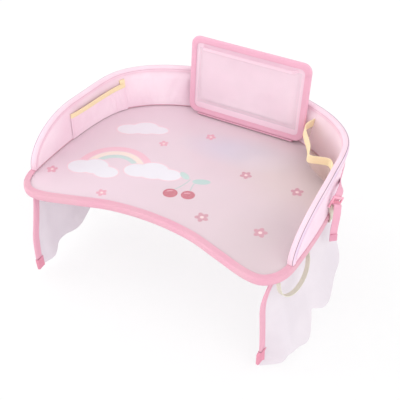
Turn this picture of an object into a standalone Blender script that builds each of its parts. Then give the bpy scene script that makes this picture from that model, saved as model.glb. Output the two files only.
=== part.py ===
"""Car seat tray table: a padded lap tray with a raised fabric wall, two inner pockets, a phone holder
that folds down, two side wings that hang below the tray and a belt that goes round the seat.

Metres, +Z up, +X to the child's right, +Y away from the child. The origin is on the underside."""

import math

import bmesh
import bpy
import numpy as np
from mathutils import Matrix, Vector

OBJECT_NAME = "car_seat_tray_table"

# Gap between pieces that touch, and the overrun of every cutter
CONTACT_GAP = 0.0003
CUT_OVERRUN = 0.002

# Section of a folded tape: its nose beyond the edge and its cut corners, in shares of the thickness
FOLD_NOSE_SHARE = 0.75
FOLD_CORNER_SHARE = 0.85

# Tray: its plan and the layers of its floor
TRAY_WIDTH = 0.420
TRAY_DEPTH = 0.325
TRAY_BACK_Y = 0.194
UNDERSIDE_THICKNESS = 0.0010
BOARD_THICKNESS = 0.0050
PRINT_THICKNESS = 0.0008
FILM_THICKNESS = 0.0005
EDGE_BINDING_WIDTH = 0.010
EDGE_BINDING_THICKNESS = 0.0010
OUTLINE_STEPS = 84

# Flat middle of the floor's top and underside, clear of the wall, the pockets, the holder and the wings.
# Outside it the floor's outer layers are drawn in slightly towards the edge, where the binding grips them.
CLEAR_HALF_WIDTH = 0.130
CLEAR_FRONT_Y = -0.050
CLEAR_BACK_Y = 0.140
EDGE_DRAW_IN = 0.00005

# The plan's right half, from the middle of the front edge round to the middle of the back.
# Each pair is a share of half the width and a share of the depth, from the back forwards.
OUTLINE_SHARES = (
    (0.000, 0.892),
    (0.286, 0.909),
    (0.524, 0.955),
    (0.752, 0.999),
    (0.886, 0.991),
    (0.976, 0.917),
    (1.000, 0.782),
    (1.000, 0.566),
    (0.967, 0.375),
    (0.886, 0.234),
    (0.714, 0.126),
    (0.476, 0.049),
    (0.238, 0.012),
    (0.000, 0.000),
)

# Wall: a foam core between a lining and a cover, with a hem tape over its top
WALL_HEIGHT = 0.060
WALL_FRONT_Y = -0.090
WALL_RISE_LENGTH = 0.105
WALL_END_HEIGHT = 0.006
WALL_LEAN = 0.014
WALL_LEAN_START_Y = 0.035
WALL_LEAN_END_Y = 0.165
WALL_CLOTH_THICKNESS = 0.0008
WALL_FOAM_THICKNESS = 0.0050
HEM_WIDTH = 0.009
HEM_THICKNESS = 0.0008
WALL_RISE_STEPS = 7
WALL_BACK_STEPS = 36
WALL_ROWS = 4

# Inner pockets: where they start and end along the wall, and how far they stand off it. The higher
# a pocket's power, the squarer its mouth.
POCKET_CLOTH_THICKNESS = 0.0008
ELASTIC_THICKNESS = 0.0014
LEFT_POCKET_FRONT_Y = 0.004
LEFT_POCKET_BACK_Y = 0.122
LEFT_POCKET_HEIGHT = 0.037
LEFT_POCKET_BULGE = 0.009
LEFT_ELASTIC_WIDTH = 0.007
RIGHT_POCKET_FRONT_Y = 0.058
RIGHT_POCKET_BACK_X = 0.124
RIGHT_POCKET_HEIGHT = 0.034
RIGHT_POCKET_BULGE = 0.034
RIGHT_ELASTIC_WIDTH = 0.012
LEFT_POCKET_POWER = 2.0
RIGHT_POCKET_POWER = 4.0
POCKET_RISE_POWER = 0.7
POCKET_ROWS = 4
POCKET_COLUMNS = 16
POCKET_TAB_WIDTH = 0.009
POCKET_TAB_HEIGHT = 0.0055

# Loop of elastic below the right front corner
LOOP_WIDTH = 0.007
LOOP_THICKNESS = 0.0011
LOOP_FRONT_Y = -0.114
LOOP_BACK_Y = -0.044
LOOP_SAG = 0.038
LOOP_REACH = 0.008
LOOP_INSET = 0.003
LOOP_STEPS = 14

# Phone holder
HOLDER_WIDTH = 0.196
HOLDER_HEIGHT = 0.126
HOLDER_CENTRE_X = 0.013
HOLDER_FRONT_Y = 0.1575
HOLDER_LEAN = math.radians(5.6)
HOLDER_CORNER_RADIUS = 0.014
HOLDER_BOARD_THICKNESS = 0.0016
HOLDER_CLOTH_THICKNESS = 0.0006
HOLDER_BINDING_WIDTH = 0.0115
HOLDER_BINDING_THICKNESS = 0.0007
HOLDER_BEAD_RADIUS = 0.0009
HOLDER_BASE_INSET = 0.016
HOLDER_BASE_WIDTH = 0.009
HOLDER_BASE_THICKNESS = 0.0008
CORNER_STEPS = 5

# Clear window of the phone holder, a pocket that is open at its top. Its margins are to the binding.
WINDOW_SIDE_MARGIN = 0.0025
WINDOW_LOW_MARGIN = 0.0073
WINDOW_TOP_MARGIN = 0.0007
WINDOW_THICKNESS = 0.0005
WINDOW_BORDER = 0.006
WINDOW_GUSSET = 0.006
WINDOW_DEPTH = 0.0085
WINDOW_CROWN = 0.0010
WINDOW_TAPE_WIDTH = 0.004
WINDOW_TAPE_THICKNESS = 0.0009

# Side wings: each hangs in a long front lobe and a shorter back lobe with a step between
WING_FRONT_X = 0.186
WING_BACK_X = 0.202
WING_FRONT_Y = -0.125
WING_LENGTH = 0.170
WING_FRONT_DEPTH = 0.137
WING_DEPTH = 0.150
WING_FRONT_SLANT = 0.009
WING_LOBE_LENGTH = 0.074
WING_LOBE_RADIUS = 0.013
WING_STEP_DEPTH = 0.102
WING_BACK_LOBE_DEPTH = 0.124
WING_BACK_DEPTH = 0.066
WING_BACK_BULGE = 0.012
WING_CLOTH_THICKNESS = 0.0008
WING_BINDING_WIDTH = 0.010
WING_BINDING_THICKNESS = 0.0008
WING_BEAD_RADIUS = 0.0013
WING_TAPE_WIDTH = 0.010
WING_TAPE_THICKNESS = 0.0010
WING_END_WIDTH = 0.0125
WING_END_THICKNESS = 0.0008
WING_BELLY = 0.004
WING_FLARE_RIGHT = 0.035
WING_FLARE_LEFT = -0.003
WING_FLARE_POWER = 1.1
WING_BACK_FLARE_SHARE = 0.45
WING_ROWS = 8
WING_END_SHARE = 1 / WING_ROWS

# Belt, its ladder lock, the tab that holds the lock and the strap's hanging tail
STRAP_WIDTH = 0.010
STRAP_THICKNESS = 0.0012
BELT_HEIGHT = 0.037
BELT_RIGHT_Y = 0.078
BELT_LEFT_Y = 0.020
BELT_LEFT_DROP = 0.018
BELT_DROP_LENGTH = 0.080
END_PATCH_SIDE = 0.016
END_PATCH_THICKNESS = 0.0010
LOCK_X = 0.2158
LOCK_Y = 0.0220
LOCK_Z = 0.0370
LOCK_YAW = math.radians(40)
LOCK_TILT = math.radians(20)
LOCK_LENGTH = 0.019
LOCK_BAR = 0.0026
LOCK_RAIL = 0.0018
LOCK_THICKNESS = 0.0030
LOCK_BEVEL = 0.0006
TAB_END_X = 0.2062
TAB_END_Y = 0.029
TAIL_LENGTH = 0.058
TAIL_RADIUS = 0.0018
TAIL_SWAY = 0.0012
TAIL_FOLD_LENGTH = 0.010
STRAP_STEPS = 5

# Heights of the floor's layers
BOARD_Z = UNDERSIDE_THICKNESS + CONTACT_GAP
PRINT_Z = BOARD_Z + BOARD_THICKNESS + CONTACT_GAP
FILM_Z = PRINT_Z + PRINT_THICKNESS + CONTACT_GAP
FLOOR_Z = FILM_Z + FILM_THICKNESS
BINDING_TOP_Z = FLOOR_Z + CONTACT_GAP + EDGE_BINDING_THICKNESS
BINDING_BOTTOM_Z = -CONTACT_GAP - EDGE_BINDING_THICKNESS
WALL_BASE_Z = BINDING_TOP_Z + CONTACT_GAP
POCKET_BASE_Z = FLOOR_Z + 2 * CONTACT_GAP

# The wall's layers, as distances outwards from its inner face
LINING_OUT = WALL_CLOTH_THICKNESS / 2
FOAM_OUT = WALL_CLOTH_THICKNESS + CONTACT_GAP + WALL_FOAM_THICKNESS / 2
COVER_OUT = FOAM_OUT + WALL_FOAM_THICKNESS / 2 + CONTACT_GAP + WALL_CLOTH_THICKNESS / 2
WALL_THICKNESS = COVER_OUT + WALL_CLOTH_THICKNESS / 2


def clear_scene():
    for obj in list(bpy.data.objects):
        bpy.data.objects.remove(obj, do_unlink=True)


def add_collection(name):
    collection = bpy.data.collections.new(name)
    bpy.context.scene.collection.children.link(collection)
    return collection


def add_material(name, colour, roughness, metallic=0.0, transmission=0.0):
    material = bpy.data.materials.new(name)
    material.use_nodes = True
    shader = material.node_tree.nodes["Principled BSDF"]
    shader.inputs["Base Color"].default_value = (*colour, 1.0)
    shader.inputs["Roughness"].default_value = roughness
    shader.inputs["Metallic"].default_value = metallic
    shader.inputs["Transmission Weight"].default_value = transmission
    return material


def place_object(obj, material, parent=None):
    PARTS.objects.link(obj)
    obj.parent = parent
    obj.data.materials.append(material)
    return obj


def add_empty(name, matrix):
    empty = bpy.data.objects.new(name, None)
    PARTS.objects.link(empty)
    empty.matrix_world = matrix
    return empty


class Outline:
    """The tray's plan, a smooth closed curve read by the share of its length that is passed, from the
    middle of the front edge round by the right."""

    def __init__(self, corners, steps):
        points = [self.smooth(corners, i, k / steps) for i in range(len(corners)) for k in range(steps)]
        self.points = np.array(points + points[:1])
        runs = np.linalg.norm(np.diff(self.points, axis=0), axis=1)
        self.length = runs.sum()
        self.shares = np.concatenate([[0.0], np.cumsum(runs)]) / self.length
        tangents = np.roll(self.points[:-1], -1, axis=0) - np.roll(self.points[:-1], 1, axis=0)
        tangents /= np.linalg.norm(tangents, axis=1)[:, None]
        self.tangents = np.concatenate([tangents, tangents[:1]])

    @staticmethod
    def smooth(corners, i, t):
        before, start, end, after = (np.array(corners[(i + k) % len(corners)]) for k in (-1, 0, 1, 2))
        straight = 2 * start + (end - before) * t
        bend = (2 * before - 5 * start + 4 * end - after) * t**2
        twist = (3 * start - before - 3 * end + after) * t**3
        return (straight + bend + twist) / 2

    def read(self, table, share):
        return Vector([np.interp(share % 1.0, self.shares, table[:, k]) for k in range(2)])

    def point(self, share):
        return self.read(self.points, share)

    def tangent(self, share):
        return self.read(self.tangents, share).normalized()

    def outward(self, share):
        tangent = self.tangent(share)
        return Vector((tangent.y, -tangent.x))

    def offset_point(self, share, outwards, z):
        flat = self.point(share) + self.outward(share) * outwards
        return Vector((flat.x, flat.y, z))

    def side_share(self, y):
        """The share at which the right side passes y."""
        corner = int(np.argmin(self.points[: len(self.points) // 2, 1]))
        side = slice(corner, len(self.points) // 2)
        return float(np.interp(y, self.points[side, 1], self.shares[side]))

    def back_share(self, x):
        """The share at which the right half of the back passes x."""
        widest = int(np.argmax(self.points[:, 0]))
        back = slice(widest, len(self.points) // 2 + 1)
        return float(np.interp(-x, -self.points[back, 0], self.shares[back]))


def tray_outline():
    half = [
        (x_share * TRAY_WIDTH / 2, TRAY_BACK_Y - y_share * TRAY_DEPTH)
        for x_share, y_share in OUTLINE_SHARES
    ]
    other_half = [(-x, y) for x, y in reversed(half[1:-1])]
    return Outline(half + other_half, steps=12)


def smoothstep(value, start, end):
    share = min(max((value - start) / (end - start), 0.0), 1.0)
    return share * share * (3 - 2 * share)


def wall_lean(share):
    """How far the wall's top leans out at this share of the plan."""
    return WALL_LEAN * smoothstep(PLAN.point(share).y, WALL_LEAN_START_Y, WALL_LEAN_END_Y)


def wall_point(share, z, out):
    """A point at height z, this far outwards from the wall's inner face."""
    lean = wall_lean(share) * (z - WALL_BASE_Z) / WALL_HEIGHT
    return PLAN.offset_point(share, out + lean - EDGE_BINDING_WIDTH, z)


def add_mesh(name, grid, material, parent):
    mesh = bpy.data.meshes.new(name)
    grid.to_mesh(mesh)
    grid.free()
    mesh.shade_smooth()
    mesh.set_sharp_from_angle(angle=math.radians(35))
    return place_object(bpy.data.objects.new(name, mesh), material, parent)


def add_sheet(name, place, columns, rows, thickness, material, parent=None, closed=False):
    """A thin shell: a grid with a vertex at each of place(column, row), thickened about its middle."""
    grid = bmesh.new()
    bmesh.ops.create_grid(grid, x_segments=len(columns) - 1, y_segments=len(rows) - 1, size=1)
    for vertex in grid.verts:
        column = round((vertex.co.x + 1) / 2 * (len(columns) - 1))
        row = round((vertex.co.y + 1) / 2 * (len(rows) - 1))
        vertex.co = place(columns[column], rows[row])
    if closed:
        bmesh.ops.remove_doubles(grid, verts=grid.verts, dist=CONTACT_GAP / 10)
    bmesh.ops.recalc_face_normals(grid, faces=grid.faces)
    obj = add_mesh(name, grid, material, parent)
    solidify = obj.modifiers.new("thickness", "SOLIDIFY")
    solidify.thickness = thickness
    solidify.offset = 0
    solidify.use_even_offset = True
    return obj


def add_flat_outline(name, points, thickness, material, parent=None, matrix=Matrix()):
    """A plate with this outline in its local XY plane, half its thickness to each side."""
    curve = bpy.data.curves.new(name, "CURVE")
    curve.dimensions = "2D"
    curve.fill_mode = "BOTH"
    curve.extrude = thickness / 2
    spline = curve.splines.new("POLY")
    spline.points.add(len(points) - 1)
    for vertex, point in zip(spline.points, points):
        vertex.co = (point[0], point[1], 0, 1)
    spline.use_cyclic_u = True
    obj = place_object(bpy.data.objects.new(name, curve), material, parent)
    obj.matrix_local = matrix
    return obj


def add_floor_sheet(name, points, middle_z, edge_rise, thickness, material):
    """A sheet with this outline, level in its clear middle and raised by edge_rise at its edge."""
    sheet = bmesh.new()
    x, front, back = CLEAR_HALF_WIDTH, CLEAR_FRONT_Y, CLEAR_BACK_Y
    clear_corners = ((-x, front), (x, front), (x, back), (-x, back))
    edge = [sheet.verts.new((*point[:2], middle_z + edge_rise)) for point in points]
    clear = [sheet.verts.new((*corner, middle_z)) for corner in clear_corners]
    rims = [sheet.edges.new((rim[k - 1], rim[k])) for rim in (edge, clear) for k in range(len(rim))]
    bmesh.ops.triangle_fill(sheet, use_beauty=True, edges=rims)
    sheet.faces.new(clear)
    bmesh.ops.recalc_face_normals(sheet, faces=sheet.faces)
    obj = add_mesh(name, sheet, material, None)
    solidify = obj.modifiers.new("thickness", "SOLIDIFY")
    solidify.thickness = thickness
    solidify.offset = 0
    return obj


def add_tube(name, points, radius, material, parent=None):
    curve = bpy.data.curves.new(name, "CURVE")
    curve.dimensions = "3D"
    curve.bevel_depth = radius
    curve.bevel_resolution = 2
    curve.use_fill_caps = True
    spline = curve.splines.new("POLY")
    spline.points.add(len(points) - 1)
    for vertex, point in zip(spline.points, points):
        vertex.co = (*point, 1)
    return place_object(bpy.data.objects.new(name, curve), material, parent)


def box_mesh(low, high):
    box = bmesh.new()
    low, high = Vector(low), Vector(high)
    centre = Matrix.Translation((low + high) / 2)
    bmesh.ops.create_cube(box, size=1, matrix=centre @ Matrix.Diagonal((*(high - low), 1)))
    return box


def add_box(name, low, high, material, parent=None):
    return add_mesh(name, box_mesh(low, high), material, parent)


def cut(obj, name, low, high):
    """Cuts a box, in the object's local frame, out of the object."""
    mesh = bpy.data.meshes.new(name)
    box = box_mesh(low, high)
    box.to_mesh(mesh)
    box.free()
    cutter = bpy.data.objects.new(name, mesh)
    CUTTERS.objects.link(cutter)
    cutter.parent = obj.parent
    cutter.hide_render = True
    cutter.display_type = "WIRE"
    boolean = obj.modifiers.new(name, "BOOLEAN")
    boolean.operation = "DIFFERENCE"
    boolean.solver = "EXACT"
    boolean.object = cutter


def bevel(obj, width, segments=2):
    modifier = obj.modifiers.new("rounded edges", "BEVEL")
    modifier.width = width
    modifier.segments = segments
    modifier.limit_method = "ANGLE"
    modifier.angle_limit = math.radians(40)


def even_steps(start, end, count):
    return [start + (end - start) * k / count for k in range(count + 1)]


def fold_section(half_gap, width, thickness):
    """The section of a tape folded over an edge, as (inwards from the edge, across) along its middle."""
    side = half_gap + CONTACT_GAP + thickness / 2
    nose = -CONTACT_GAP - thickness * FOLD_NOSE_SHARE
    corner = min(side, thickness) * FOLD_CORNER_SHARE
    return [
        (width, -side),
        (nose + corner, -side),
        (nose, corner - side),
        (nose, side - corner),
        (nose + corner, side),
        (width, side),
    ]


def make_tray_floor():
    """The floor's four layers, one on top of the other, inside the edge binding."""
    layers = (
        ("tray_underside_fabric", 0.0, EDGE_DRAW_IN, UNDERSIDE_THICKNESS, PALE_CLOTH),
        ("tray_core_board", BOARD_Z, 0.0, BOARD_THICKNESS, BOARD),
        ("tray_print_sheet", PRINT_Z, 0.0, PRINT_THICKNESS, PRINTED_CLOTH),
        ("tray_clear_film", FILM_Z, -EDGE_DRAW_IN, FILM_THICKNESS, CLEAR_FILM),
    )
    inset = EDGE_BINDING_THICKNESS + 2 * CONTACT_GAP
    shares = even_steps(0.0, 1.0, OUTLINE_STEPS)[:-1]
    points = [PLAN.offset_point(share, -inset, 0.0) for share in shares]
    for name, low, edge_rise, thickness, material in layers:
        add_floor_sheet(name, points, low + thickness / 2, edge_rise, thickness, material)


def make_edge_binding():
    """The tape folded round the floor's edge, rounded on its outer side."""
    half = FLOOR_Z / 2
    side = half + CONTACT_GAP + EDGE_BINDING_THICKNESS / 2
    face = -EDGE_BINDING_THICKNESS / 2
    corner = side / 2
    section = [
        (-EDGE_BINDING_WIDTH, side),
        (face - corner / 2, side),
        (face - corner / 8, side - corner / 4),
        (face, corner / 2),
        (face, -corner / 2),
        (face - corner / 8, corner / 4 - side),
        (face - corner / 2, -side),
        (-EDGE_BINDING_WIDTH, -side),
    ]

    def place(share, corner_point):
        return PLAN.offset_point(share, corner_point[0], half + corner_point[1])

    add_sheet(
        "tray_edge_binding",
        place,
        even_steps(0.0, 1.0, OUTLINE_STEPS),
        section,
        EDGE_BINDING_THICKNESS,
        PINK_TAPE,
        closed=True,
    )


def wall_stations():
    """The wall's columns as (distance along the wall, height): each end rises in a quarter of an ellipse."""
    first = math.asin(WALL_END_HEIGHT / WALL_HEIGHT)
    angles = even_steps(first, math.pi / 2, WALL_RISE_STEPS)
    rise = [
        (WALL_RISE_LENGTH * (1 - math.cos(angle)), WALL_HEIGHT * math.sin(angle)) for angle in angles
    ]
    back = even_steps(WALL_RISE_LENGTH, WALL_LENGTH - WALL_RISE_LENGTH, WALL_BACK_STEPS)[1:-1]
    fall = [(WALL_LENGTH - distance, height) for distance, height in reversed(rise)]
    return rise + [(distance, WALL_HEIGHT) for distance in back] + fall


def wall_share(distance):
    """The share of the plan at this distance along the wall, from its right front end."""
    return WALL_START_SHARE + distance / PLAN.length


def facet_point(share, z, out):
    """The wall_point of this share on the straight facet between the wall's own columns beside it."""
    columns = [wall_share(distance) for distance, _ in wall_stations()]
    after = min(max(int(np.searchsorted(columns, share)), 1), len(columns) - 1)
    before = after - 1
    passed = (share - columns[before]) / (columns[after] - columns[before])
    return wall_point(columns[before], z, out).lerp(wall_point(columns[after], z, out), passed)


def shares_between(start, end):
    """These two shares and the wall's own columns between them, so that what lies on it has its facets."""
    inside = [wall_share(distance) for distance, _ in wall_stations()]
    margin = STATION_MARGIN / PLAN.length
    return [start] + [share for share in inside if start + margin < share < end - margin] + [end]


def make_wall_layers():
    layers = (
        ("wall_lining", LINING_OUT, WALL_CLOTH_THICKNESS, WALL_CLOTH),
        ("wall_foam_core", FOAM_OUT, WALL_FOAM_THICKNESS, FOAM),
        ("wall_cover", COVER_OUT, WALL_CLOTH_THICKNESS, WALL_CLOTH),
    )
    for name, out, thickness, material in layers:
        edge_rise = thickness / 2 * WALL_LEAN / WALL_HEIGHT

        def place(station, height_share, out=out, edge_rise=edge_rise):
            distance, height = station
            rise = edge_rise + (height - 2 * edge_rise) * height_share
            return wall_point(wall_share(distance), WALL_BASE_Z + rise, out)

        rows = even_steps(0.0, 1.0, WALL_ROWS)
        add_sheet(name, place, wall_stations(), rows, thickness, material)


def hem_stations():
    """The hem's columns as (distance, height, along, up): the last two are the top edge's normal."""
    stations = []
    for distance, height in wall_stations():
        from_end = min(distance, WALL_LENGTH - distance)
        side = -1.0 if distance < WALL_LENGTH / 2 else 1.0
        away = max(1 - from_end / WALL_RISE_LENGTH, 0.0) / WALL_RISE_LENGTH
        normal = Vector((side * away, height / WALL_HEIGHT**2)).normalized()
        stations.append((distance, height, normal.x, normal.y))
    foot_height = CONTACT_GAP
    first, last = stations[0], stations[-1]
    foot_first = (first[0], foot_height, -1.0, 0.0)
    foot_last = (last[0], foot_height, 1.0, 0.0)
    return [foot_first] + stations + [foot_last]


def make_wall_hem():
    """The tape folded over the wall's top edge and down its front ends."""
    middle = WALL_THICKNESS / 2
    section = fold_section(middle, HEM_WIDTH, HEM_THICKNESS)

    def place(station, corner_point):
        distance, height, along, up = station
        inwards, across = corner_point
        share = wall_share(distance - along * inwards)
        return wall_point(share, WALL_BASE_Z + height - up * inwards, middle + across)

    add_sheet("wall_hem_tape", place, hem_stations(), section, HEM_THICKNESS, HEM_TAPE)


def boxy_bulge(share, power):
    """0 at both ends and 1 in the middle: the higher the power, the squarer."""
    return (1 - abs(2 * share - 1) ** power) ** (1 / power)


def make_inner_pocket(name, start, end, height, band, bulge, power, cloth):
    """A pocket panel that stands off the wall's lining, and the elastic band along its top."""
    turns = even_steps(0.0, math.pi, POCKET_COLUMNS)
    shares = [start + (end - start) * (1 - math.cos(turn)) / 2 for turn in turns]
    closest = CONTACT_GAP + ELASTIC_THICKNESS / 2
    top = height + CONTACT_GAP

    def stand_off(share, height_share):
        along = (share - start) / (end - start)
        return -closest - bulge * boxy_bulge(along, power) * height_share**POCKET_RISE_POWER

    def place_panel(share, height_share):
        z = POCKET_BASE_Z + height * height_share
        return facet_point(share, z, stand_off(share, height_share))

    def place_band(share, height_share):
        z = POCKET_BASE_Z + top + band * height_share
        return facet_point(share, z, stand_off(share, 1.0))

    rows = even_steps(0.0, 1.0, POCKET_ROWS)
    add_sheet(name + "_panel", place_panel, shares, rows, POCKET_CLOTH_THICKNESS, cloth)
    add_sheet(name + "_elastic", place_band, shares, (0.0, 1.0), ELASTIC_THICKNESS, YELLOW_ELASTIC)


def make_pocket_tab(share, low):
    """The left band's folded end, which stands up beside the wall at the pocket's rear."""
    near = -CONTACT_GAP - ELASTIC_THICKNESS / 2
    far = near - ELASTIC_THICKNESS - CONTACT_GAP
    fold = [
        (near, low),
        (near, low + POCKET_TAB_HEIGHT - ELASTIC_THICKNESS),
        ((near + far) / 2, low + POCKET_TAB_HEIGHT),
        (far, low + POCKET_TAB_HEIGHT - ELASTIC_THICKNESS),
        (far, low),
    ]

    def place(along, corner):
        return facet_point(share + along / PLAN.length, corner[1], corner[0])

    add_sheet(
        "pocket_left_tab",
        place,
        (-POCKET_TAB_WIDTH / 2, POCKET_TAB_WIDTH / 2),
        fold,
        ELASTIC_THICKNESS,
        YELLOW_ELASTIC,
    )


def make_inner_pockets():
    left_start = 1 - PLAN.side_share(LEFT_POCKET_BACK_Y)
    left_end = 1 - PLAN.side_share(LEFT_POCKET_FRONT_Y)
    make_inner_pocket(
        "pocket_left",
        left_start,
        left_end,
        LEFT_POCKET_HEIGHT,
        LEFT_ELASTIC_WIDTH,
        LEFT_POCKET_BULGE,
        LEFT_POCKET_POWER,
        WALL_CLOTH,
    )
    tab_low = POCKET_BASE_Z + LEFT_POCKET_HEIGHT + LEFT_ELASTIC_WIDTH + 2 * CONTACT_GAP
    make_pocket_tab(left_start + POCKET_TAB_WIDTH / 2 / PLAN.length, tab_low)
    right_start = PLAN.side_share(RIGHT_POCKET_FRONT_Y)
    right_end = PLAN.back_share(RIGHT_POCKET_BACK_X)
    make_inner_pocket(
        "pocket_right",
        right_start,
        right_end,
        RIGHT_POCKET_HEIGHT,
        RIGHT_ELASTIC_WIDTH,
        RIGHT_POCKET_BULGE,
        RIGHT_POCKET_POWER,
        POCKET_MESH,
    )


def make_corner_loop():
    """The elastic loop whose ends are sewn under the right front corner: it swings out about them."""
    start = PLAN.side_share(LOOP_FRONT_Y)
    end = PLAN.side_share(LOOP_BACK_Y)
    top = BINDING_BOTTOM_Z - CONTACT_GAP - LOOP_THICKNESS / 2

    def centre(step):
        angle = math.pi * step
        share = start + (end - start) * (1 - math.cos(angle)) / 2
        out = LOOP_REACH * math.sin(angle) - LOOP_INSET
        return PLAN.offset_point(share, out, top - LOOP_SAG * math.sin(angle))

    along = (centre(1.0) - centre(0.0)).normalized()
    across = Vector((along.y, -along.x, 0))
    frame = Matrix((across, along, Vector((0, 0, 1)))).transposed().to_4x4()
    hinge = Matrix.Translation(centre(0.0) + across * LOOP_WIDTH / 2) @ frame
    pivot = add_empty("corner_loop_pivot", hinge)

    def place(step, side):
        return hinge.inverted() @ (centre(step) + across * side * LOOP_WIDTH / 2)

    steps = even_steps(0.0, 1.0, LOOP_STEPS)
    add_sheet("corner_elastic_loop", place, steps, (-1, 1), LOOP_THICKNESS, CREAM_ELASTIC, pivot)


def rounded_rectangle(width, height, radius):
    """Corners of a rectangle about the origin, each rounded with a quarter circle."""
    points = []
    for turn in range(4):
        across = 1 if turn in (0, 3) else -1
        up = 1 if turn in (0, 1) else -1
        centre = Vector((across * (width / 2 - radius), up * (height / 2 - radius)))
        for angle in even_steps(turn * math.pi / 2, (turn + 1) * math.pi / 2, CORNER_STEPS):
            points.append(centre + radius * Vector((math.cos(angle), math.sin(angle))))
    return points


def holder_pivot():
    height = FLOOR_Z + 2 * (CONTACT_GAP + HOLDER_BASE_THICKNESS) + HOLDER_BEAD_RADIUS
    place = Matrix.Translation((HOLDER_CENTRE_X, HOLDER_FRONT_Y, height))
    return add_empty("holder_pivot", place @ Matrix.Rotation(-HOLDER_LEAN, 4, "X"))


def make_holder_base():
    """The strip sewn on the floor, the flap that grips it and the fold that the holder turns about."""
    half = HOLDER_WIDTH / 2 - HOLDER_BASE_INSET
    front = HOLDER_FRONT_Y + HOLDER_BEAD_RADIUS + CONTACT_GAP
    back = front + HOLDER_BASE_WIDTH
    layers = (("holder_loop_strip", LOOP_PILE), ("holder_hook_flap", PINK_TAPE))
    low = FLOOR_Z + CONTACT_GAP
    for name, material in layers:
        high = low + HOLDER_BASE_THICKNESS
        add_box(
            name,
            (HOLDER_CENTRE_X - half, front, low),
            (HOLDER_CENTRE_X + half, back, high),
            material,
        )
        low = high + CONTACT_GAP
    z = FLOOR_Z + 2 * (CONTACT_GAP + HOLDER_BASE_THICKNESS) + HOLDER_BEAD_RADIUS
    ends = [(HOLDER_CENTRE_X + side * half, HOLDER_FRONT_Y, z) for side in (-1, 1)]
    add_tube("holder_fold_bead", ends, HOLDER_BEAD_RADIUS, PINK_TAPE)


def make_holder(pivot):
    """The holder's layers in the pivot's frame, which has X to the right, Y to the back and Z up."""
    bottom = HOLDER_BEAD_RADIUS + CONTACT_GAP
    middle_z = bottom + HOLDER_HEIGHT / 2
    stand_up = Matrix.Rotation(math.pi / 2, 4, "X")
    inset = HOLDER_BINDING_THICKNESS + 2 * CONTACT_GAP
    outline = rounded_rectangle(
        HOLDER_WIDTH - 2 * inset, HOLDER_HEIGHT - 2 * inset, HOLDER_CORNER_RADIUS - inset
    )
    depth = HOLDER_BINDING_THICKNESS + CONTACT_GAP
    layers = (
        ("holder_front_fabric", HOLDER_CLOTH_THICKNESS, HOLDER_CLOTH),
        ("holder_board", HOLDER_BOARD_THICKNESS, BOARD),
        ("holder_back_fabric", HOLDER_CLOTH_THICKNESS, HOLDER_CLOTH),
    )
    for name, thickness, material in layers:
        place = Matrix.Translation((0, depth + thickness / 2, middle_z)) @ stand_up
        add_flat_outline(name, outline, thickness, material, pivot, place)
        depth += thickness + CONTACT_GAP
    half = (depth - CONTACT_GAP - HOLDER_BINDING_THICKNESS - CONTACT_GAP) / 2
    middle_y = HOLDER_BINDING_THICKNESS + CONTACT_GAP + half
    section = fold_section(half, HOLDER_BINDING_WIDTH, HOLDER_BINDING_THICKNESS)
    face = HOLDER_BINDING_THICKNESS + CONTACT_GAP
    edge = rounded_rectangle(
        HOLDER_WIDTH - 2 * face, HOLDER_HEIGHT - 2 * face, HOLDER_CORNER_RADIUS - face
    )
    corner_x = HOLDER_WIDTH / 2 - HOLDER_CORNER_RADIUS
    corner_z = HOLDER_HEIGHT / 2 - HOLDER_CORNER_RADIUS

    def place_binding(index, corner_point):
        inwards, across = corner_point
        point = edge[index % len(edge)]
        nearest = Vector(
            (
                min(max(point.x, -corner_x), corner_x),
                min(max(point.y, -corner_z), corner_z),
            )
        )
        outwards = (point - nearest).normalized()
        flat = point - outwards * inwards
        return Vector((flat.x, middle_y + across, middle_z + flat.y))

    add_sheet(
        "holder_edge_binding",
        place_binding,
        range(len(edge) + 1),
        section,
        HOLDER_BINDING_THICKNESS,
        PINK_TAPE,
        pivot,
        closed=True,
    )


def make_holder_window(pivot):
    """The clear pocket: its sides and bottom lie on the front fabric, its top stands open."""
    fabric_y = HOLDER_BINDING_THICKNESS + CONTACT_GAP
    flat_y = fabric_y - CONTACT_GAP - WINDOW_THICKNESS / 2
    half = HOLDER_WIDTH / 2 - HOLDER_BINDING_WIDTH - WINDOW_SIDE_MARGIN
    foot = half - WINDOW_BORDER
    raised = foot - WINDOW_GUSSET
    inner = even_steps(-raised, raised, 4)
    columns = [-half, -foot, *inner, foot, half]
    holder_bottom = HOLDER_BEAD_RADIUS + CONTACT_GAP
    bottom = holder_bottom + HOLDER_BINDING_WIDTH + WINDOW_LOW_MARGIN
    inside_top = holder_bottom + HOLDER_HEIGHT - HOLDER_BINDING_WIDTH
    top = inside_top - WINDOW_TOP_MARGIN - WINDOW_TAPE_WIDTH
    seam_top = bottom + WINDOW_BORDER
    rows = [bottom, seam_top, *even_steps(seam_top + WINDOW_GUSSET, top, 3)]

    def lift(x, z):
        aside = min(max((foot - abs(x)) / WINDOW_GUSSET, 0.0), 1.0)
        above = min(max((z - seam_top) / WINDOW_GUSSET, 0.0), 1.0)
        crown = WINDOW_CROWN * (1 - (x / half) ** 2)
        return (WINDOW_DEPTH + crown) * min(aside, above)

    def place_window(x, z):
        return Vector((x, flat_y - lift(x, z), z))

    add_sheet("holder_clear_window", place_window, columns, rows, WINDOW_THICKNESS, CLEAR_FILM, pivot)
    tape_low = top + CONTACT_GAP

    def place_tape(x, up):
        return Vector((x, flat_y - lift(x, top), tape_low + up))

    tape_columns = [x for x in columns if abs(x) < foot]
    add_sheet(
        "holder_window_tape",
        place_tape,
        tape_columns,
        (0.0, WINDOW_TAPE_WIDTH),
        WINDOW_TAPE_THICKNESS,
        PINK_TAPE,
        pivot,
    )


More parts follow.
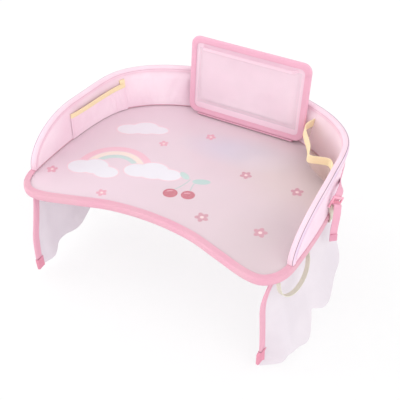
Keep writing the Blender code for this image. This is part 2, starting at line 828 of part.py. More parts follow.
def quarter_round(passed):
    """How far a rounded corner has fallen, 0 to 1, when this share of it is passed."""
    return 1 - math.sqrt(max(1 - min(max(passed, 0.0), 1.0) ** 2, 0.0))


def wing_depth(along):
    """How far the wing hangs at this distance from its front edge."""
    step = WING_LOBE_LENGTH
    if along <= step:
        lower = min(along / WING_END_WIDTH, 1.0)
        depth = WING_FRONT_DEPTH + (WING_DEPTH - WING_FRONT_DEPTH) * math.sin(lower * math.pi / 2)
        return depth - WING_LOBE_RADIUS * quarter_round(1 + (along - step) / WING_LOBE_RADIUS)
    share = (along - step) / (WING_LENGTH - step)
    depth = WING_STEP_DEPTH + (WING_BACK_LOBE_DEPTH - WING_STEP_DEPTH) * math.sin(share * math.pi / 2)
    return depth - (WING_BACK_LOBE_DEPTH - WING_BACK_DEPTH) * quarter_round(2 * share - 1)


def wing_surface(side, flare, along, down, out=0.0):
    """A point of the wing in its pivot's frame, this far out from the middle of its cloth."""
    share = down / WING_DEPTH
    front = smoothstep(along, WING_END_WIDTH, WING_LOBE_LENGTH * 2 / 3)
    back = smoothstep(along, WING_LOBE_LENGTH * 2 / 3, WING_LENGTH) * WING_BACK_FLARE_SHARE
    flared = flare * share**WING_FLARE_POWER * (front + back)
    belly = WING_BELLY * math.sin(math.pi * min(share, 1.0)) * math.sin(math.pi * along / WING_LENGTH)
    return Vector((side * (flared - belly) + out, along, -WING_BEAD_RADIUS - CONTACT_GAP - down))


def make_wing(side_name, side, flare):
    """One wing in its pivot's frame: X across the seam, Y back along it, Z up."""
    front = Vector((side * WING_FRONT_X, WING_FRONT_Y, 0))
    back = front + side * Vector((WING_BACK_X - WING_FRONT_X, 0, 0)) + Vector((0, WING_LENGTH, 0))
    along = (back - front).normalized()
    tape_bottom = BINDING_BOTTOM_Z - CONTACT_GAP - WING_TAPE_THICKNESS
    bead_z = tape_bottom - CONTACT_GAP - WING_BEAD_RADIUS
    across = Vector((along.y, -along.x, 0))
    frame = Matrix((across, along, Vector((0, 0, 1)))).transposed().to_4x4()
    pivot = add_empty(
        f"wing_{side_name}_pivot", Matrix.Translation(front + Vector((0, 0, bead_z))) @ frame
    )

    def front_edge(down):
        return -WING_FRONT_SLANT * down / WING_DEPTH

    def place_panel(y, share):
        down = wing_depth(y) * share
        forward = front_edge(down) * max(1 - y / WING_LOBE_LENGTH, 0.0)
        backward = WING_BACK_BULGE * math.sin(math.pi * share) * (y / WING_LENGTH) ** 3
        point = wing_surface(side, flare, y, down)
        return point + Vector((0, forward + backward, 0))

    step = WING_LOBE_LENGTH
    columns = [
        0.0,
        WING_BINDING_WIDTH,
        *even_steps(WING_END_WIDTH, step - WING_LOBE_RADIUS, 4),
        step - WING_LOBE_RADIUS / 2,
        step - WING_LOBE_RADIUS / 8,
        step,
        step + WING_LOBE_RADIUS / 8,
        *even_steps(step + WING_LOBE_RADIUS / 2, WING_LENGTH, 8),
    ]
    rows = even_steps(0.0, 1.0, WING_ROWS)
    add_sheet(
        f"wing_{side_name}_panel", place_panel, columns, rows, WING_CLOTH_THICKNESS, WING_CLOTH, pivot
    )
    half_cloth = (WING_CLOTH_THICKNESS + CONTACT_GAP) / 2
    section = fold_section(half_cloth, WING_BINDING_WIDTH, WING_BINDING_THICKNESS)
    binding_end = WING_FRONT_DEPTH * (1 - WING_END_SHARE)

    def place_binding(down, corner_point):
        inwards, out = corner_point
        return wing_surface(side, flare, inwards, down, out) + Vector((0, front_edge(down), 0))

    add_sheet(
        f"wing_{side_name}_front_binding",
        place_binding,
        even_steps(0.0, binding_end, WING_ROWS - 1),
        section,
        WING_BINDING_THICKNESS,
        PINK_TAPE,
        pivot,
    )
    half_end = half_cloth + WING_END_THICKNESS / 2
    end_section = fold_section(half_end, WING_END_WIDTH, WING_END_THICKNESS)

    def place_end(down, corner_point):
        inwards, out = corner_point
        nose = front_edge(down) - WING_END_THICKNESS
        return wing_surface(side, flare, inwards, down, out) + Vector((0, nose, 0))

    add_sheet(
        f"wing_{side_name}_binding_end",
        place_end,
        even_steps(binding_end + WING_END_THICKNESS, WING_FRONT_DEPTH + WING_END_THICKNESS, 2),
        end_section,
        WING_END_THICKNESS,
        PINK_TAPE,
        pivot,
    )
    seam_length = (back - front).length
    seam = [(0, 0, 0), (0, seam_length, 0)]
    add_tube(f"wing_{side_name}_hem_bead", seam, WING_BEAD_RADIUS, WING_CLOTH, pivot)
    rise = tape_bottom - bead_z
    add_box(
        f"wing_{side_name}_seam_tape",
        (-WING_TAPE_WIDTH / 2, 0, rise),
        (WING_TAPE_WIDTH / 2, seam_length, rise + WING_TAPE_THICKNESS),
        PALE_CLOTH,
        pivot,
    )


def belt_share_height(share):
    """The belt's middle height: level round the back, then lower towards its sewn left end."""
    drop_start = BELT_LEFT_SHARE - BELT_DROP_LENGTH / PLAN.length
    return BELT_HEIGHT - BELT_LEFT_DROP * smoothstep(share, drop_start, BELT_LEFT_SHARE)


def belt_point(share, down, out):
    """A point beside the wall's cover, this far below the belt's middle and this far out from the cover."""
    return facet_point(share, belt_share_height(share) - down, WALL_THICKNESS + out)


def add_strap(name, route, material, parent=None):
    """A strap along a route of (middle, half of its width as a vector)."""

    def place(index, side):
        middle, half_width = route[index]
        return middle + half_width * side

    return add_sheet(name, place, range(len(route)), (-1, 1), STRAP_THICKNESS, material, parent)


def make_ladder_lock():
    """The lock's plate: two slots between three bars. Its X runs across the strap and its Y up along it."""
    upright = Matrix.Rotation(LOCK_YAW, 4, "Z") @ Matrix.Rotation(math.pi / 2, 4, "X")
    turn = upright @ Matrix.Rotation(-LOCK_TILT, 4, "Z")
    place = Matrix.Translation((LOCK_X, LOCK_Y, LOCK_Z)) @ turn
    pivot = add_empty("belt_lock_pivot", place)
    slot = STRAP_WIDTH / 2 + 2 * CONTACT_GAP
    size = Vector((slot + LOCK_RAIL, LOCK_LENGTH / 2, LOCK_THICKNESS / 2))
    lock = add_box("belt_ladder_lock", -size, size, PINK_PLASTIC, pivot)
    bevel(lock, LOCK_BEVEL)
    through = LOCK_THICKNESS / 2 + CUT_OVERRUN
    inner = LOCK_BAR / 2
    outer = LOCK_LENGTH / 2 - LOCK_BAR
    cut(lock, "lock_slot_lower", (-slot, -outer, -through), (slot, -inner, through))
    cut(lock, "lock_slot_upper", (-slot, inner, -through), (slot, outer, through))
    return place


def around_bar(middle, start, end):
    """Points of the lock's YZ plane round a bar, between two angles from +Y in degrees."""
    radius = math.hypot(LOCK_BAR, LOCK_THICKNESS) / 2 + CONTACT_GAP + STRAP_THICKNESS / 2
    angles = even_steps(math.radians(start), math.radians(end), STRAP_STEPS)
    return [(middle + radius * math.cos(angle), radius * math.sin(angle)) for angle in angles]


def in_lock(lock, points):
    """Strap stations at these points of the lock's YZ plane."""
    half_width = lock.to_3x3() @ Vector((STRAP_WIDTH / 2, 0, 0))
    return [(lock @ Vector((0, y, z)), half_width) for y, z in points]


def bezier(start, start_handle, end_handle, end, t):
    near = start * (1 - t) ** 3 + start_handle * (1 - t) ** 2 * t * 3
    return near + end_handle * (1 - t) * t**2 * 3 + end * t**3


def free_run(start, start_direction, end, end_direction):
    """Stations of the hanging run between two of them, along which the strap turns."""
    reach = (end[0] - start[0]).length / 3
    stations = []
    for t in even_steps(0.0, 1.0, STRAP_STEPS)[1:-1]:
        middle = bezier(
            start[0],
            start[0] + start_direction * reach,
            end[0] - end_direction * reach,
            end[0],
            t,
        )
        turn = math.sin(t * math.pi / 2)
        half_width = start[1].normalized().slerp(end[1].normalized(), turn) * STRAP_WIDTH / 2
        stations.append((middle, half_width))
    return stations


def make_belt(lock):
    """The strap from the ladder lock round the back of the wall to its sewn left end, and the end's patch."""
    clear = LOCK_THICKNESS / 2 + CONTACT_GAP + STRAP_THICKNESS / 2
    half = LOCK_LENGTH / 2
    threading = [*around_bar(0.0, -270, -90), (half - LOCK_BAR, -clear), (half, -clear)]
    threaded = in_lock(lock, threading)
    out = 2 * CONTACT_GAP + STRAP_THICKNESS / 2
    on_wall = []
    for share in shares_between(BELT_RIGHT_SHARE, BELT_LEFT_SHARE):
        middle = belt_point(share, 0.0, out)
        on_wall.append((middle, belt_point(share, STRAP_WIDTH / 2, out) - middle))
    back = (on_wall[1][0] - on_wall[0][0]).normalized()
    up = lock.to_3x3() @ Vector((0, 1, 0))
    free = free_run(threaded[-1], (up + back).normalized(), on_wall[0], back)
    add_strap("belt_strap", threaded + free + on_wall, PINK_WEBBING)
    patch_out = out + STRAP_THICKNESS / 2 + CONTACT_GAP + END_PATCH_THICKNESS / 2
    patch_half = END_PATCH_SIDE / 2

    def place_patch(share, down):
        return belt_point(share, down, patch_out)

    reach = patch_half / PLAN.length
    add_sheet(
        "belt_end_patch",
        place_patch,
        shares_between(BELT_LEFT_SHARE - reach, BELT_LEFT_SHARE + reach),
        (-patch_half, patch_half),
        END_PATCH_THICKNESS,
        PINK_WEBBING,
    )


def make_lock_tab(lock):
    """The tab: it goes round the lock's lower bar and its other end is sewn under the tray's edge."""
    bar_middle = (LOCK_BAR - LOCK_LENGTH) / 2
    looped = in_lock(lock, around_bar(bar_middle, 120, -110))
    last, half_width = looped[-1]
    along_edge = Vector((0, STRAP_WIDTH / 2, 0))
    edge_share = PLAN.side_share(TAB_END_Y)
    stand_off = CONTACT_GAP + STRAP_THICKNESS
    low = BINDING_BOTTOM_Z - CONTACT_GAP - STRAP_THICKNESS / 2
    side = PLAN.offset_point(edge_share, stand_off, BINDING_BOTTOM_Z)
    corner = PLAN.offset_point(edge_share, stand_off - STRAP_THICKNESS / 2, low + CONTACT_GAP)
    under = PLAN.offset_point(edge_share, -STRAP_THICKNESS, low)
    end = Vector((TAB_END_X, TAB_END_Y, low))
    shoulder = Vector((side.x, side.y, BINDING_TOP_Z))
    stations = list(looped)
    for t in even_steps(0.0, 1.0, STRAP_STEPS)[1:-1]:
        turned = half_width.normalized().slerp(along_edge.normalized(), t) * STRAP_WIDTH / 2
        stations.append((last.lerp(shoulder, t), turned))
    stations += [(point, along_edge) for point in (shoulder, side, corner, under, end)]
    add_strap("belt_lock_tab", stations, CREAM_ELASTIC)


def make_belt_tail(lock):
    """The strap's loose end: it turns over in front of the lock and hangs, with a fold sewn at its end."""
    front = around_bar(0.0, 90, 90)[0]
    beside = front[1] + STRAP_THICKNESS + 3 * CONTACT_GAP
    start = lock @ Vector((0, front[0] - 2 * CONTACT_GAP, beside))
    turned = Matrix.Translation(start) @ Matrix.Rotation(LOCK_YAW, 4, "Z")
    pivot = add_empty("belt_tail_pivot", turned @ Matrix.Translation((0, -TAIL_RADIUS, 0)))
    tilted = Vector((math.cos(LOCK_TILT), 0, -math.sin(LOCK_TILT)))
    level = Vector((1, 0, 0))
    hang = -TAIL_RADIUS
    route = []
    for share in even_steps(0.0, 1.0, STRAP_STEPS):
        angle = math.pi * share
        middle = Vector((0, math.cos(angle), math.sin(angle))) * TAIL_RADIUS
        route.append((middle, tilted.slerp(level, share) * STRAP_WIDTH / 2))
    for share in even_steps(0.0, 1.0, STRAP_STEPS)[1:]:
        sway = -TAIL_SWAY * math.sin(2 * math.pi * share)
        middle = Vector((0, hang + sway, -TAIL_LENGTH * share))
        route.append((middle, level * STRAP_WIDTH / 2))
    add_strap("belt_tail", route, PINK_WEBBING, pivot)
    slack = TAIL_SWAY * math.sin(2 * math.pi * (1 - TAIL_FOLD_LENGTH / TAIL_LENGTH))
    face = -CONTACT_GAP - STRAP_THICKNESS
    below = -TAIL_LENGTH - CONTACT_GAP - STRAP_THICKNESS / 2
    fold = [
        (0.0, below),
        (face / 2, below),
        (face, -TAIL_LENGTH),
        (face - slack, -TAIL_LENGTH + TAIL_FOLD_LENGTH),
    ]

    def place_fold(side, corner):
        return Vector((side * STRAP_WIDTH / 2, hang + corner[0], corner[1]))

    add_sheet("belt_tail_fold", place_fold, (-1, 1), fold, STRAP_THICKNESS, DARK_WEBBING, pivot)


clear_scene()
PARTS = add_collection(OBJECT_NAME)
CUTTERS = add_collection("cutters")

PALE_CLOTH = add_material("pale_cloth", (0.80, 0.66, 0.72), 0.9)
BOARD = add_material("board", (0.75, 0.75, 0.75), 0.8)
PRINTED_CLOTH = add_material("printed_cloth", (0.84, 0.66, 0.74), 0.7)
CLEAR_FILM = add_material("clear_film", (0.95, 0.95, 0.97), 0.1, transmission=0.9)
PINK_TAPE = add_material("pink_tape", (0.84, 0.42, 0.54), 0.8)
WALL_CLOTH = add_material("wall_cloth", (0.88, 0.66, 0.77), 0.85)
FOAM = add_material("foam", (0.85, 0.83, 0.78), 0.9)
HEM_TAPE = add_material("hem_tape", (0.85, 0.58, 0.70), 0.85)
YELLOW_ELASTIC = add_material("yellow_elastic", (0.88, 0.72, 0.42), 0.85)
POCKET_MESH = add_material("pocket_mesh", (0.80, 0.68, 0.66), 0.9)
CREAM_ELASTIC = add_material("cream_elastic", (0.70, 0.67, 0.56), 0.85)
LOOP_PILE = add_material("loop_pile", (0.82, 0.60, 0.68), 0.95)
HOLDER_CLOTH = add_material("holder_cloth", (0.86, 0.66, 0.76), 0.8)
WING_CLOTH = add_material("wing_cloth", (0.78, 0.74, 0.80), 0.9)
PINK_WEBBING = add_material("pink_webbing", (0.84, 0.42, 0.55), 0.85)
DARK_WEBBING = add_material("dark_webbing", (0.76, 0.34, 0.48), 0.85)
PINK_PLASTIC = add_material("pink_plastic", (0.91, 0.33, 0.46), 0.35)

STATION_MARGIN = WALL_CLOTH_THICKNESS
PLAN = tray_outline()
WALL_START_SHARE = PLAN.side_share(WALL_FRONT_Y)
WALL_LENGTH = (1 - 2 * WALL_START_SHARE) * PLAN.length
BELT_RIGHT_SHARE = PLAN.side_share(BELT_RIGHT_Y)
BELT_LEFT_SHARE = 1 - PLAN.side_share(BELT_LEFT_Y)

make_tray_floor()
make_edge_binding()
make_wall_layers()
make_wall_hem()
make_inner_pockets()
make_corner_loop()
make_holder_base()
HOLDER = holder_pivot()
make_holder(HOLDER)
make_holder_window(HOLDER)
make_wing("right", 1, WING_FLARE_RIGHT)
make_wing("left", -1, WING_FLARE_LEFT)
LOCK = make_ladder_lock()
make_belt(LOCK)
make_lock_tab(LOCK)
make_belt_tail(LOCK)
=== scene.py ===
import math

import bmesh
import bpy
import numpy as np
from mathutils import Matrix, Vector, noise
from mathutils.geometry import delaunay_2d_cdt


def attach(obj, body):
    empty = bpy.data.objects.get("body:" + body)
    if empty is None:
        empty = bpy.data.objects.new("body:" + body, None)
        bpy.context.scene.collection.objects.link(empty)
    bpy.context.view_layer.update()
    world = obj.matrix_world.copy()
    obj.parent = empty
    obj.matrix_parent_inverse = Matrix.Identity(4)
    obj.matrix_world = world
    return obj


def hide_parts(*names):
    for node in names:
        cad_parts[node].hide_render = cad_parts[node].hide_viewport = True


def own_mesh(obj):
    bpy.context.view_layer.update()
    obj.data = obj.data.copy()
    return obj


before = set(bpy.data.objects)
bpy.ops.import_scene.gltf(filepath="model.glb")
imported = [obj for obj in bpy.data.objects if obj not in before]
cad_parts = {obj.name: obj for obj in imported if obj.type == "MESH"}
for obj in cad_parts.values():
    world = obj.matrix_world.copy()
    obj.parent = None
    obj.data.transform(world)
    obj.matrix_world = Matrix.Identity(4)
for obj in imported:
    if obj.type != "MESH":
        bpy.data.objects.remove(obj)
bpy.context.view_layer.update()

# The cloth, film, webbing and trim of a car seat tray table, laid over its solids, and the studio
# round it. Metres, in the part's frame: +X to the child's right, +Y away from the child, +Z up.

# Sizes of the pieces, most of them shared with the solids
GAP = 0.0003
TRAY_WIDTH = 0.420
TRAY_DEPTH = 0.325
TRAY_BACK_Y = 0.194
OUTLINE_SHARES = (
    (0.000, 0.892), (0.286, 0.909), (0.524, 0.955), (0.752, 0.999), (0.886, 0.991), (0.976, 0.917),
    (1.000, 0.782), (1.000, 0.566), (0.967, 0.375), (0.886, 0.234), (0.714, 0.126), (0.476, 0.049),
    (0.238, 0.012), (0.000, 0.000),
)
BINDING_WIDTH = 0.010
BINDING_THICKNESS = 0.0010
BINDING_NOSE = 0.0016
FLOOR_Z = 0.0082
BINDING_TOP_Z = FLOOR_Z + GAP + BINDING_THICKNESS
BINDING_BOTTOM_Z = -GAP - BINDING_THICKNESS

WALL_BASE_Z = BINDING_TOP_Z + GAP
WALL_HEIGHT = 0.060
WALL_FRONT_Y = -0.090
WALL_RISE = 0.105
WALL_END_HEIGHT = 0.006
WALL_LEAN = 0.014
WALL_LEAN_START_Y = 0.035
WALL_LEAN_END_Y = 0.165
WALL_CLOTH = 0.0008
WALL_FOAM = 0.0050
LINING_OUT = WALL_CLOTH / 2
FOAM_OUT = WALL_CLOTH + GAP + WALL_FOAM / 2
COVER_OUT = FOAM_OUT + WALL_FOAM / 2 + GAP + WALL_CLOTH / 2
WALL_THICKNESS = COVER_OUT + WALL_CLOTH / 2
HEM_WIDTH = 0.006
HEM_THICKNESS = 0.0008
HEM_SHOULDER = 0.0128
HEM_INNER_LINE = 0.0038

POCKET_BASE_Z = FLOOR_Z + 2 * GAP
POCKET_CLOTH = 0.0008
ELASTIC = 0.0014
POCKET_RISE_POWER = 0.7
POCKET_SEAM_INSET = 0.0022
BAND_STITCH_SHARE = 0.22
LEFT_POCKET_REAR_Y = 0.122
LEFT_POCKET_FRONT_Y = 0.004
RIGHT_POCKET_FRONT_Y = 0.058
RIGHT_POCKET_REAR_X = 0.124
LEFT_POCKET_HEIGHT = 0.037
LEFT_BAND_HEIGHT = 0.007
LEFT_MOUTH_BULGE = 0.0045
RIGHT_POCKET_HEIGHT = 0.034
RIGHT_BAND_HEIGHT = 0.012
RIGHT_MOUTH = (
    (0.0, 0.0), (0.09, 0.003), (0.19, 0.008), (0.232, 0.014), (0.240, 0.025), (0.240, 0.035),
    (0.262, 0.041), (0.34, 0.043), (0.47, 0.0425), (0.62, 0.040), (0.78, 0.035), (0.90, 0.0285),
    (0.965, 0.0215), (0.992, 0.012), (1.0, 0.0),
)
TAB_WIDTH = 0.009
TAB_HEIGHT = 0.0055

LOOP_WIDTH = 0.0062
LOOP_THICKNESS = 0.0011
LOOP_FRONT_Y = -0.114
LOOP_BACK_Y = -0.044
LOOP_SAG = 0.0255
LOOP_ROUNDNESS = 2.7
LOOP_SKEW = 1.3
LOOP_REACH = 0.008
LOOP_INSET = 0.003

HOLDER_WIDTH = 0.196
HOLDER_HEIGHT = 0.126
HOLDER_X = 0.013
HOLDER_Y = 0.1575
HOLDER_LEAN = math.radians(5.6)
HOLDER_RADIUS = 0.014
HOLDER_INNER_RADIUS = 0.008
HOLDER_BOARD = 0.0016
HOLDER_CLOTH = 0.0006
HOLDER_BINDING_WIDTH = 0.0082
HOLDER_BINDING = 0.0007
HOLDER_BEAD = 0.0009
HOLDER_BASE_LENGTH = 0.164
HOLDER_BASE_WIDTH = 0.009
HOLDER_BASE = 0.0008
HOLDER_FOLD_Z = FLOOR_Z + 2 * (GAP + HOLDER_BASE) + HOLDER_BEAD
WINDOW_WIDTH = 0.168
WINDOW_BOTTOM = 0.020
WINDOW_TOP = 0.111
WINDOW_FILM = 0.0005
WINDOW_BORDER = 0.006
WINDOW_GUSSET = 0.006
WINDOW_DEPTH = 0.0085
WINDOW_CROWN = 0.0010
WINDOW_TAPE_WIDTH = 0.004
WINDOW_TAPE = 0.0009

WING_FRONT_X = 0.186
WING_BACK_X = 0.202
WING_FRONT_Y = -0.125
WING_LENGTH = 0.170
WING_FRONT_DEPTH = 0.137
WING_DEPTH = 0.150
WING_LOBE = 0.074
WING_CLOTH = 0.0008
WING_BINDING_WIDTH = 0.010
WING_BINDING = 0.0008
WING_BEAD = 0.0013
WING_BEAD_START = 0.008
WING_TAPE_WIDTH = 0.010
WING_TAPE = 0.0010
WING_END_WIDTH = 0.0125
WING_END_SHARE = 1 / 8
WING_END_REACHES = {"right": 0.0045, "left": 0.0}
WING_BELLY = 0.004
WING_FLARES = {"right": (0.036, 0.45), "left": (-0.003, 5.0)}
WING_FLARE_POWER = 1.1
WING_FLARE_START = 0.008
WING_FLARE_END = 0.040
WING_LOW_START = -0.006
# The wings' edges in millimetres: (down, forward) of the front edge, (along, down) of the free hem
WING_FRONT_EDGES = {
    "right": (
        (0, 13), (8, 7), (16, -0.5), (26, -6), (38, -7.5), (52, -6.5), (70, -4.5), (95, -2.5), (114, -1.5),
        (150, -1.5),
    ),
    "left": ((0, 13), (13, 12.5), (30, 9), (57, 2), (76, -3.4), (95, -5.4), (125, -5.5), (150, -3)),
}
WING_HEMS = {
    "right": (
        (3, 149.5), (12, 150.5), (20, 149.5), (27, 145.5), (36, 139), (50, 139.5), (65, 143), (76, 138),
        (84.5, 127), (91, 115), (95.5, 108), (105, 113), (115.5, 118), (127.5, 114.5), (140, 104.5),
        (153.5, 92), (165, 81), (172, 70), (174.5, 52), (174, 25), (172.5, 10), (170.75, 0),
    ),
    "left": (
        (3, 138.5), (10, 139.5), (19, 142), (28, 143.5), (37, 143), (44, 138), (48.5, 130), (56, 127),
        (67, 127), (80, 130), (95, 132.5), (108, 131.5), (120, 127), (133, 119), (147, 107), (160, 90),
        (168, 70), (171.5, 48), (173, 28), (172, 12), (170.75, 0),
    ),
}

STRAP_WIDTH = 0.010
STRAP = 0.0012
BELT_HEIGHT = 0.037
BELT_RIGHT_Y = 0.078
BELT_LEFT_Y = 0.020
BELT_LEFT_DROP = 0.018
BELT_DROP_LENGTH = 0.080
PATCH_SIDE = 0.016
PATCH = 0.0010
LOCK_PLACE = (0.2158, 0.0220, 0.0370)
LOCK_YAW = math.radians(40)
LOCK_TILT = math.radians(20)
LOCK_LENGTH = 0.019
LOCK_BAR = 0.0026
LOCK_THICKNESS = 0.0030
LOCK_TAB_END = (0.2062, 0.029)
TAIL_LENGTH = 0.058
TAIL_RADIUS = 0.0018
TAIL_SWAY = 0.0012
TAIL_FOLD = 0.010

# Sewing: (pitch, length, radius) of the stitches, and how far a thread stands off its tape
STITCH = (0.0034, 0.0024, 0.00022)
FINE_STITCH = (0.0028, 0.0020, 0.00018)
FLAT_STITCH = (0.003, 0.0021, 0.00018)
STITCH_INSET = 0.0015
BINDING_STITCH_INSET = 0.0016
THREAD_LIFT = 0.0001
TAPE_THREAD_LIFT = 0.00018
HOLDER_THREAD_LIFT = 0.00014
BAND_THREAD_LIFT = 0.0002


# Curves and surfaces


def smoothstep(value, start, end):
    share = min(max((value - start) / (end - start), 0.0), 1.0)
    return share * share * (3 - 2 * share)


def steps(start, end, count):
    return [start + (end - start) * k / count for k in range(count + 1)]


def swell(share):
    """A half wave: 0 at both ends of the share, 1 in its middle."""
    return math.sin(math.pi * min(max(share, 0.0), 1.0))


def hump(value, centre, width):
    """A soft ridge: 1 at its centre, about a third at one width from it."""
    return math.exp(-(((value - centre) / width) ** 2))


def drift(*place, scale=1.0, seed=0.0):
    """Smooth noise from -1 to 1 at a place, the same on every run."""
    return noise.noise(Vector(place) * scale + Vector((seed, seed * 2.3, seed * 0.7)))


def between(before, start, end, after, t):
    """A point on the smooth curve from start to end, between its neighbours."""
    straight = 2 * start + (end - before) * t
    bend = (2 * before - 5 * start + 4 * end - after) * t**2
    twist = (3 * start - before - 3 * end + after) * t**3
    return (straight + bend + twist) / 2


def flowing(points, pieces):
    """A smooth open curve through these points, as an array."""
    knots = [np.array(point, float) for point in points]
    knots = [2 * knots[0] - knots[1], *knots, 2 * knots[-1] - knots[-2]]
    curve = [between(*knots[k : k + 4], t / pieces) for k in range(len(knots) - 3) for t in range(pieces)]
    return np.array(curve + [knots[-2]])


class Plan:
    """The tray's outline, read by the share of its length from the middle of its front edge, by the right."""

    def __init__(self, pieces=12):
        half = [(x * TRAY_WIDTH / 2, TRAY_BACK_Y - y * TRAY_DEPTH) for x, y in OUTLINE_SHARES]
        corners = [np.array(corner) for corner in half + [(-x, y) for x, y in reversed(half[1:-1])]]
        around = [[corners[(i + k) % len(corners)] for k in (-1, 0, 1, 2)] for i in range(len(corners))]
        points = [between(*near, k / pieces) for near in around for k in range(pieces)]
        self.points = np.array(points + points[:1])
        runs = np.linalg.norm(np.diff(self.points, axis=0), axis=1)
        self.length = float(runs.sum())
        self.shares = np.concatenate([[0.0], np.cumsum(runs)]) / self.length
        tangents = np.roll(self.points[:-1], -1, axis=0) - np.roll(self.points[:-1], 1, axis=0)
        tangents /= np.linalg.norm(tangents, axis=1)[:, None]
        self.tangents = np.concatenate([tangents, tangents[:1]])

    def read(self, table, share):
        return Vector([np.interp(share % 1.0, self.shares, table[:, k]) for k in range(2)])

    def place(self, share, outwards=0.0, z=0.0):
        tangent = self.read(self.tangents, share).normalized()
        flat = self.read(self.points, share) + Vector((tangent.y, -tangent.x)) * outwards
        return Vector((flat.x, flat.y, z))

    def side_share(self, y):
        """The share at which the right side passes y."""
        corner = int(np.argmin(self.points[: len(self.points) // 2, 1]))
        side = slice(corner, len(self.points) // 2)
        return float(np.interp(y, self.points[side, 1], self.shares[side]))

    def back_share(self, x):
        """The share at which the right half of the back passes x."""
        widest = int(np.argmax(self.points[:, 0]))
        back = slice(widest, len(self.points) // 2 + 1)
        return float(np.interp(-x, -self.points[back, 0], self.shares[back]))


PLAN = Plan()
WALL_START = PLAN.side_share(WALL_FRONT_Y)
WALL_LENGTH = (1 - 2 * WALL_START) * PLAN.length
LEFT_POCKET = (1 - PLAN.side_share(LEFT_POCKET_REAR_Y), 1 - PLAN.side_share(LEFT_POCKET_FRONT_Y))
RIGHT_POCKET = (PLAN.side_share(RIGHT_POCKET_FRONT_Y), PLAN.back_share(RIGHT_POCKET_REAR_X))
BELT_RIGHT = PLAN.side_share(BELT_RIGHT_Y)
BELT_LEFT = 1 - PLAN.side_share(BELT_LEFT_Y)


def wall_point(share, z, out):
    """A point at height z, this far outwards from the wall's inner face."""
    lean = WALL_LEAN * smoothstep(PLAN.place(share).y, WALL_LEAN_START_Y, WALL_LEAN_END_Y)
    return PLAN.place(share, out + lean * (z - WALL_BASE_Z) / WALL_HEIGHT - BINDING_WIDTH, z)


def wall_share(distance):
    return WALL_START + distance / PLAN.length


def wall_columns(rise_steps=30, back_steps=300):
    """(distance along the wall, height): each end rises in a quarter of an ellipse."""
    first = math.asin(WALL_END_HEIGHT / WALL_HEIGHT)
    turns = steps(first, math.pi / 2, rise_steps)
    rise = [(WALL_RISE * (1 - math.cos(turn)), WALL_HEIGHT * math.sin(turn)) for turn in turns]
    back = [(d, WALL_HEIGHT) for d in steps(WALL_RISE, WALL_LENGTH - WALL_RISE, back_steps)[1:-1]]
    return rise + back + [(WALL_LENGTH - d, height) for d, height in reversed(rise)]


def belt_height(share):
    """The belt's middle height: level round the back, then lower towards its sewn left end."""
    drop_start = BELT_LEFT - BELT_DROP_LENGTH / PLAN.length
    return BELT_HEIGHT - BELT_LEFT_DROP * smoothstep(share, drop_start, BELT_LEFT)


def polygon_area(points):
    pairs = zip(points, points[1:] + points[:1])
    return abs(sum(a[0] * b[1] - b[0] * a[1] for a, b in pairs)) / 2


# Makers of meshes


def mesh_object(name, points, faces, finish, uvs=None):
    mesh = bpy.data.meshes.new(name)
    mesh.from_pydata([tuple(point) for point in points], [], faces)
    if uvs is not None:
        layer = mesh.uv_layers.new(name="cloth")
        corners = np.empty(len(mesh.loops), np.int32)
        mesh.loops.foreach_get("vertex_index", corners)
        layer.data.foreach_set("uv", np.array(uvs, np.float32)[corners].ravel())
    mesh.materials.append(finish)
    mesh.shade_smooth()
    obj = bpy.data.objects.new(name, mesh)
    bpy.context.scene.collection.objects.link(obj)
    return obj


def tidy_mesh(obj, weld=0.0):
    """Welds points that are closer than weld, drops loose ones, and turns all faces the same way out."""
    mesh = bmesh.new()
    mesh.from_mesh(obj.data)
    if weld:
        bmesh.ops.remove_doubles(mesh, verts=mesh.verts, dist=weld)
    loose = [vertex for vertex in mesh.verts if not vertex.link_faces]
    bmesh.ops.delete(mesh, geom=loose, context="VERTS")
    bmesh.ops.recalc_face_normals(mesh, faces=mesh.faces)
    mesh.to_mesh(obj.data)
    mesh.free()


def thicken(obj, thickness, even=True):
    """Gives a sheet its thickness about its middle, with crisp edges where faces turn sharply."""
    solidify = obj.modifiers.new("thickness", "SOLIDIFY")
    solidify.thickness = thickness
    solidify.offset = 0
    solidify.use_even_offset = even
    graph = bpy.context.evaluated_depsgraph_get()
    mesh = bpy.data.meshes.new_from_object(obj.evaluated_get(graph))
    obj.modifiers.clear()
    obj.data = mesh
    mesh.shade_smooth()
    mesh.set_sharp_from_angle(angle=math.radians(40))
    return obj


def length_along(points):
    runs = [0.0]
    for before, after in zip(points, points[1:]):
        runs.append(runs[-1] + (after - before).length)
    return runs


def tube_faces(rings, sides, base=0):
    """Faces between neighbouring rings of points, counted from base."""
    faces = []
    for ring in range(rings - 1):
        for turn in range(sides):
            a = base + ring * sides + turn
            b = base + ring * sides + (turn + 1) % sides
            faces.append((a, b, b + sides, a + sides))
    return faces


def settle(obj, body, slot, *nodes):
    """Puts a finished piece on its body, in the place of these solids."""
    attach(obj, body)
    if nodes:
        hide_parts(*nodes)
    return obj


def lay(name, seat, place, along, across, thickness, finish, closed=False):
    """A sheet through place(u, v), thickened and settled. Its map runs along it and across it in metres."""
    grid = [[Vector(place(u, v)) for v in across] for u in along]
    rows, columns = len(across), len(grid)
    middle = length_along([column[rows // 2] for column in grid])
    points, uvs = [], []
    for column, run in zip(grid, middle):
        points += column
        uvs += [(run, up) for up in length_along(column)]
    faces = []
    for i in range(columns - 1):
        following = 0 if closed and i == columns - 2 else i + 1
        for j in range(rows - 1):
            a, b = i * rows + j, following * rows + j
            faces.append((a, b, b + 1, a + 1))
    if closed:
        points, uvs = points[: -rows], uvs[: -rows]
    obj = mesh_object(name, points, faces, FINISHES[finish], uvs)
    tidy_mesh(obj)
    return settle(thicken(obj, thickness), *seat)


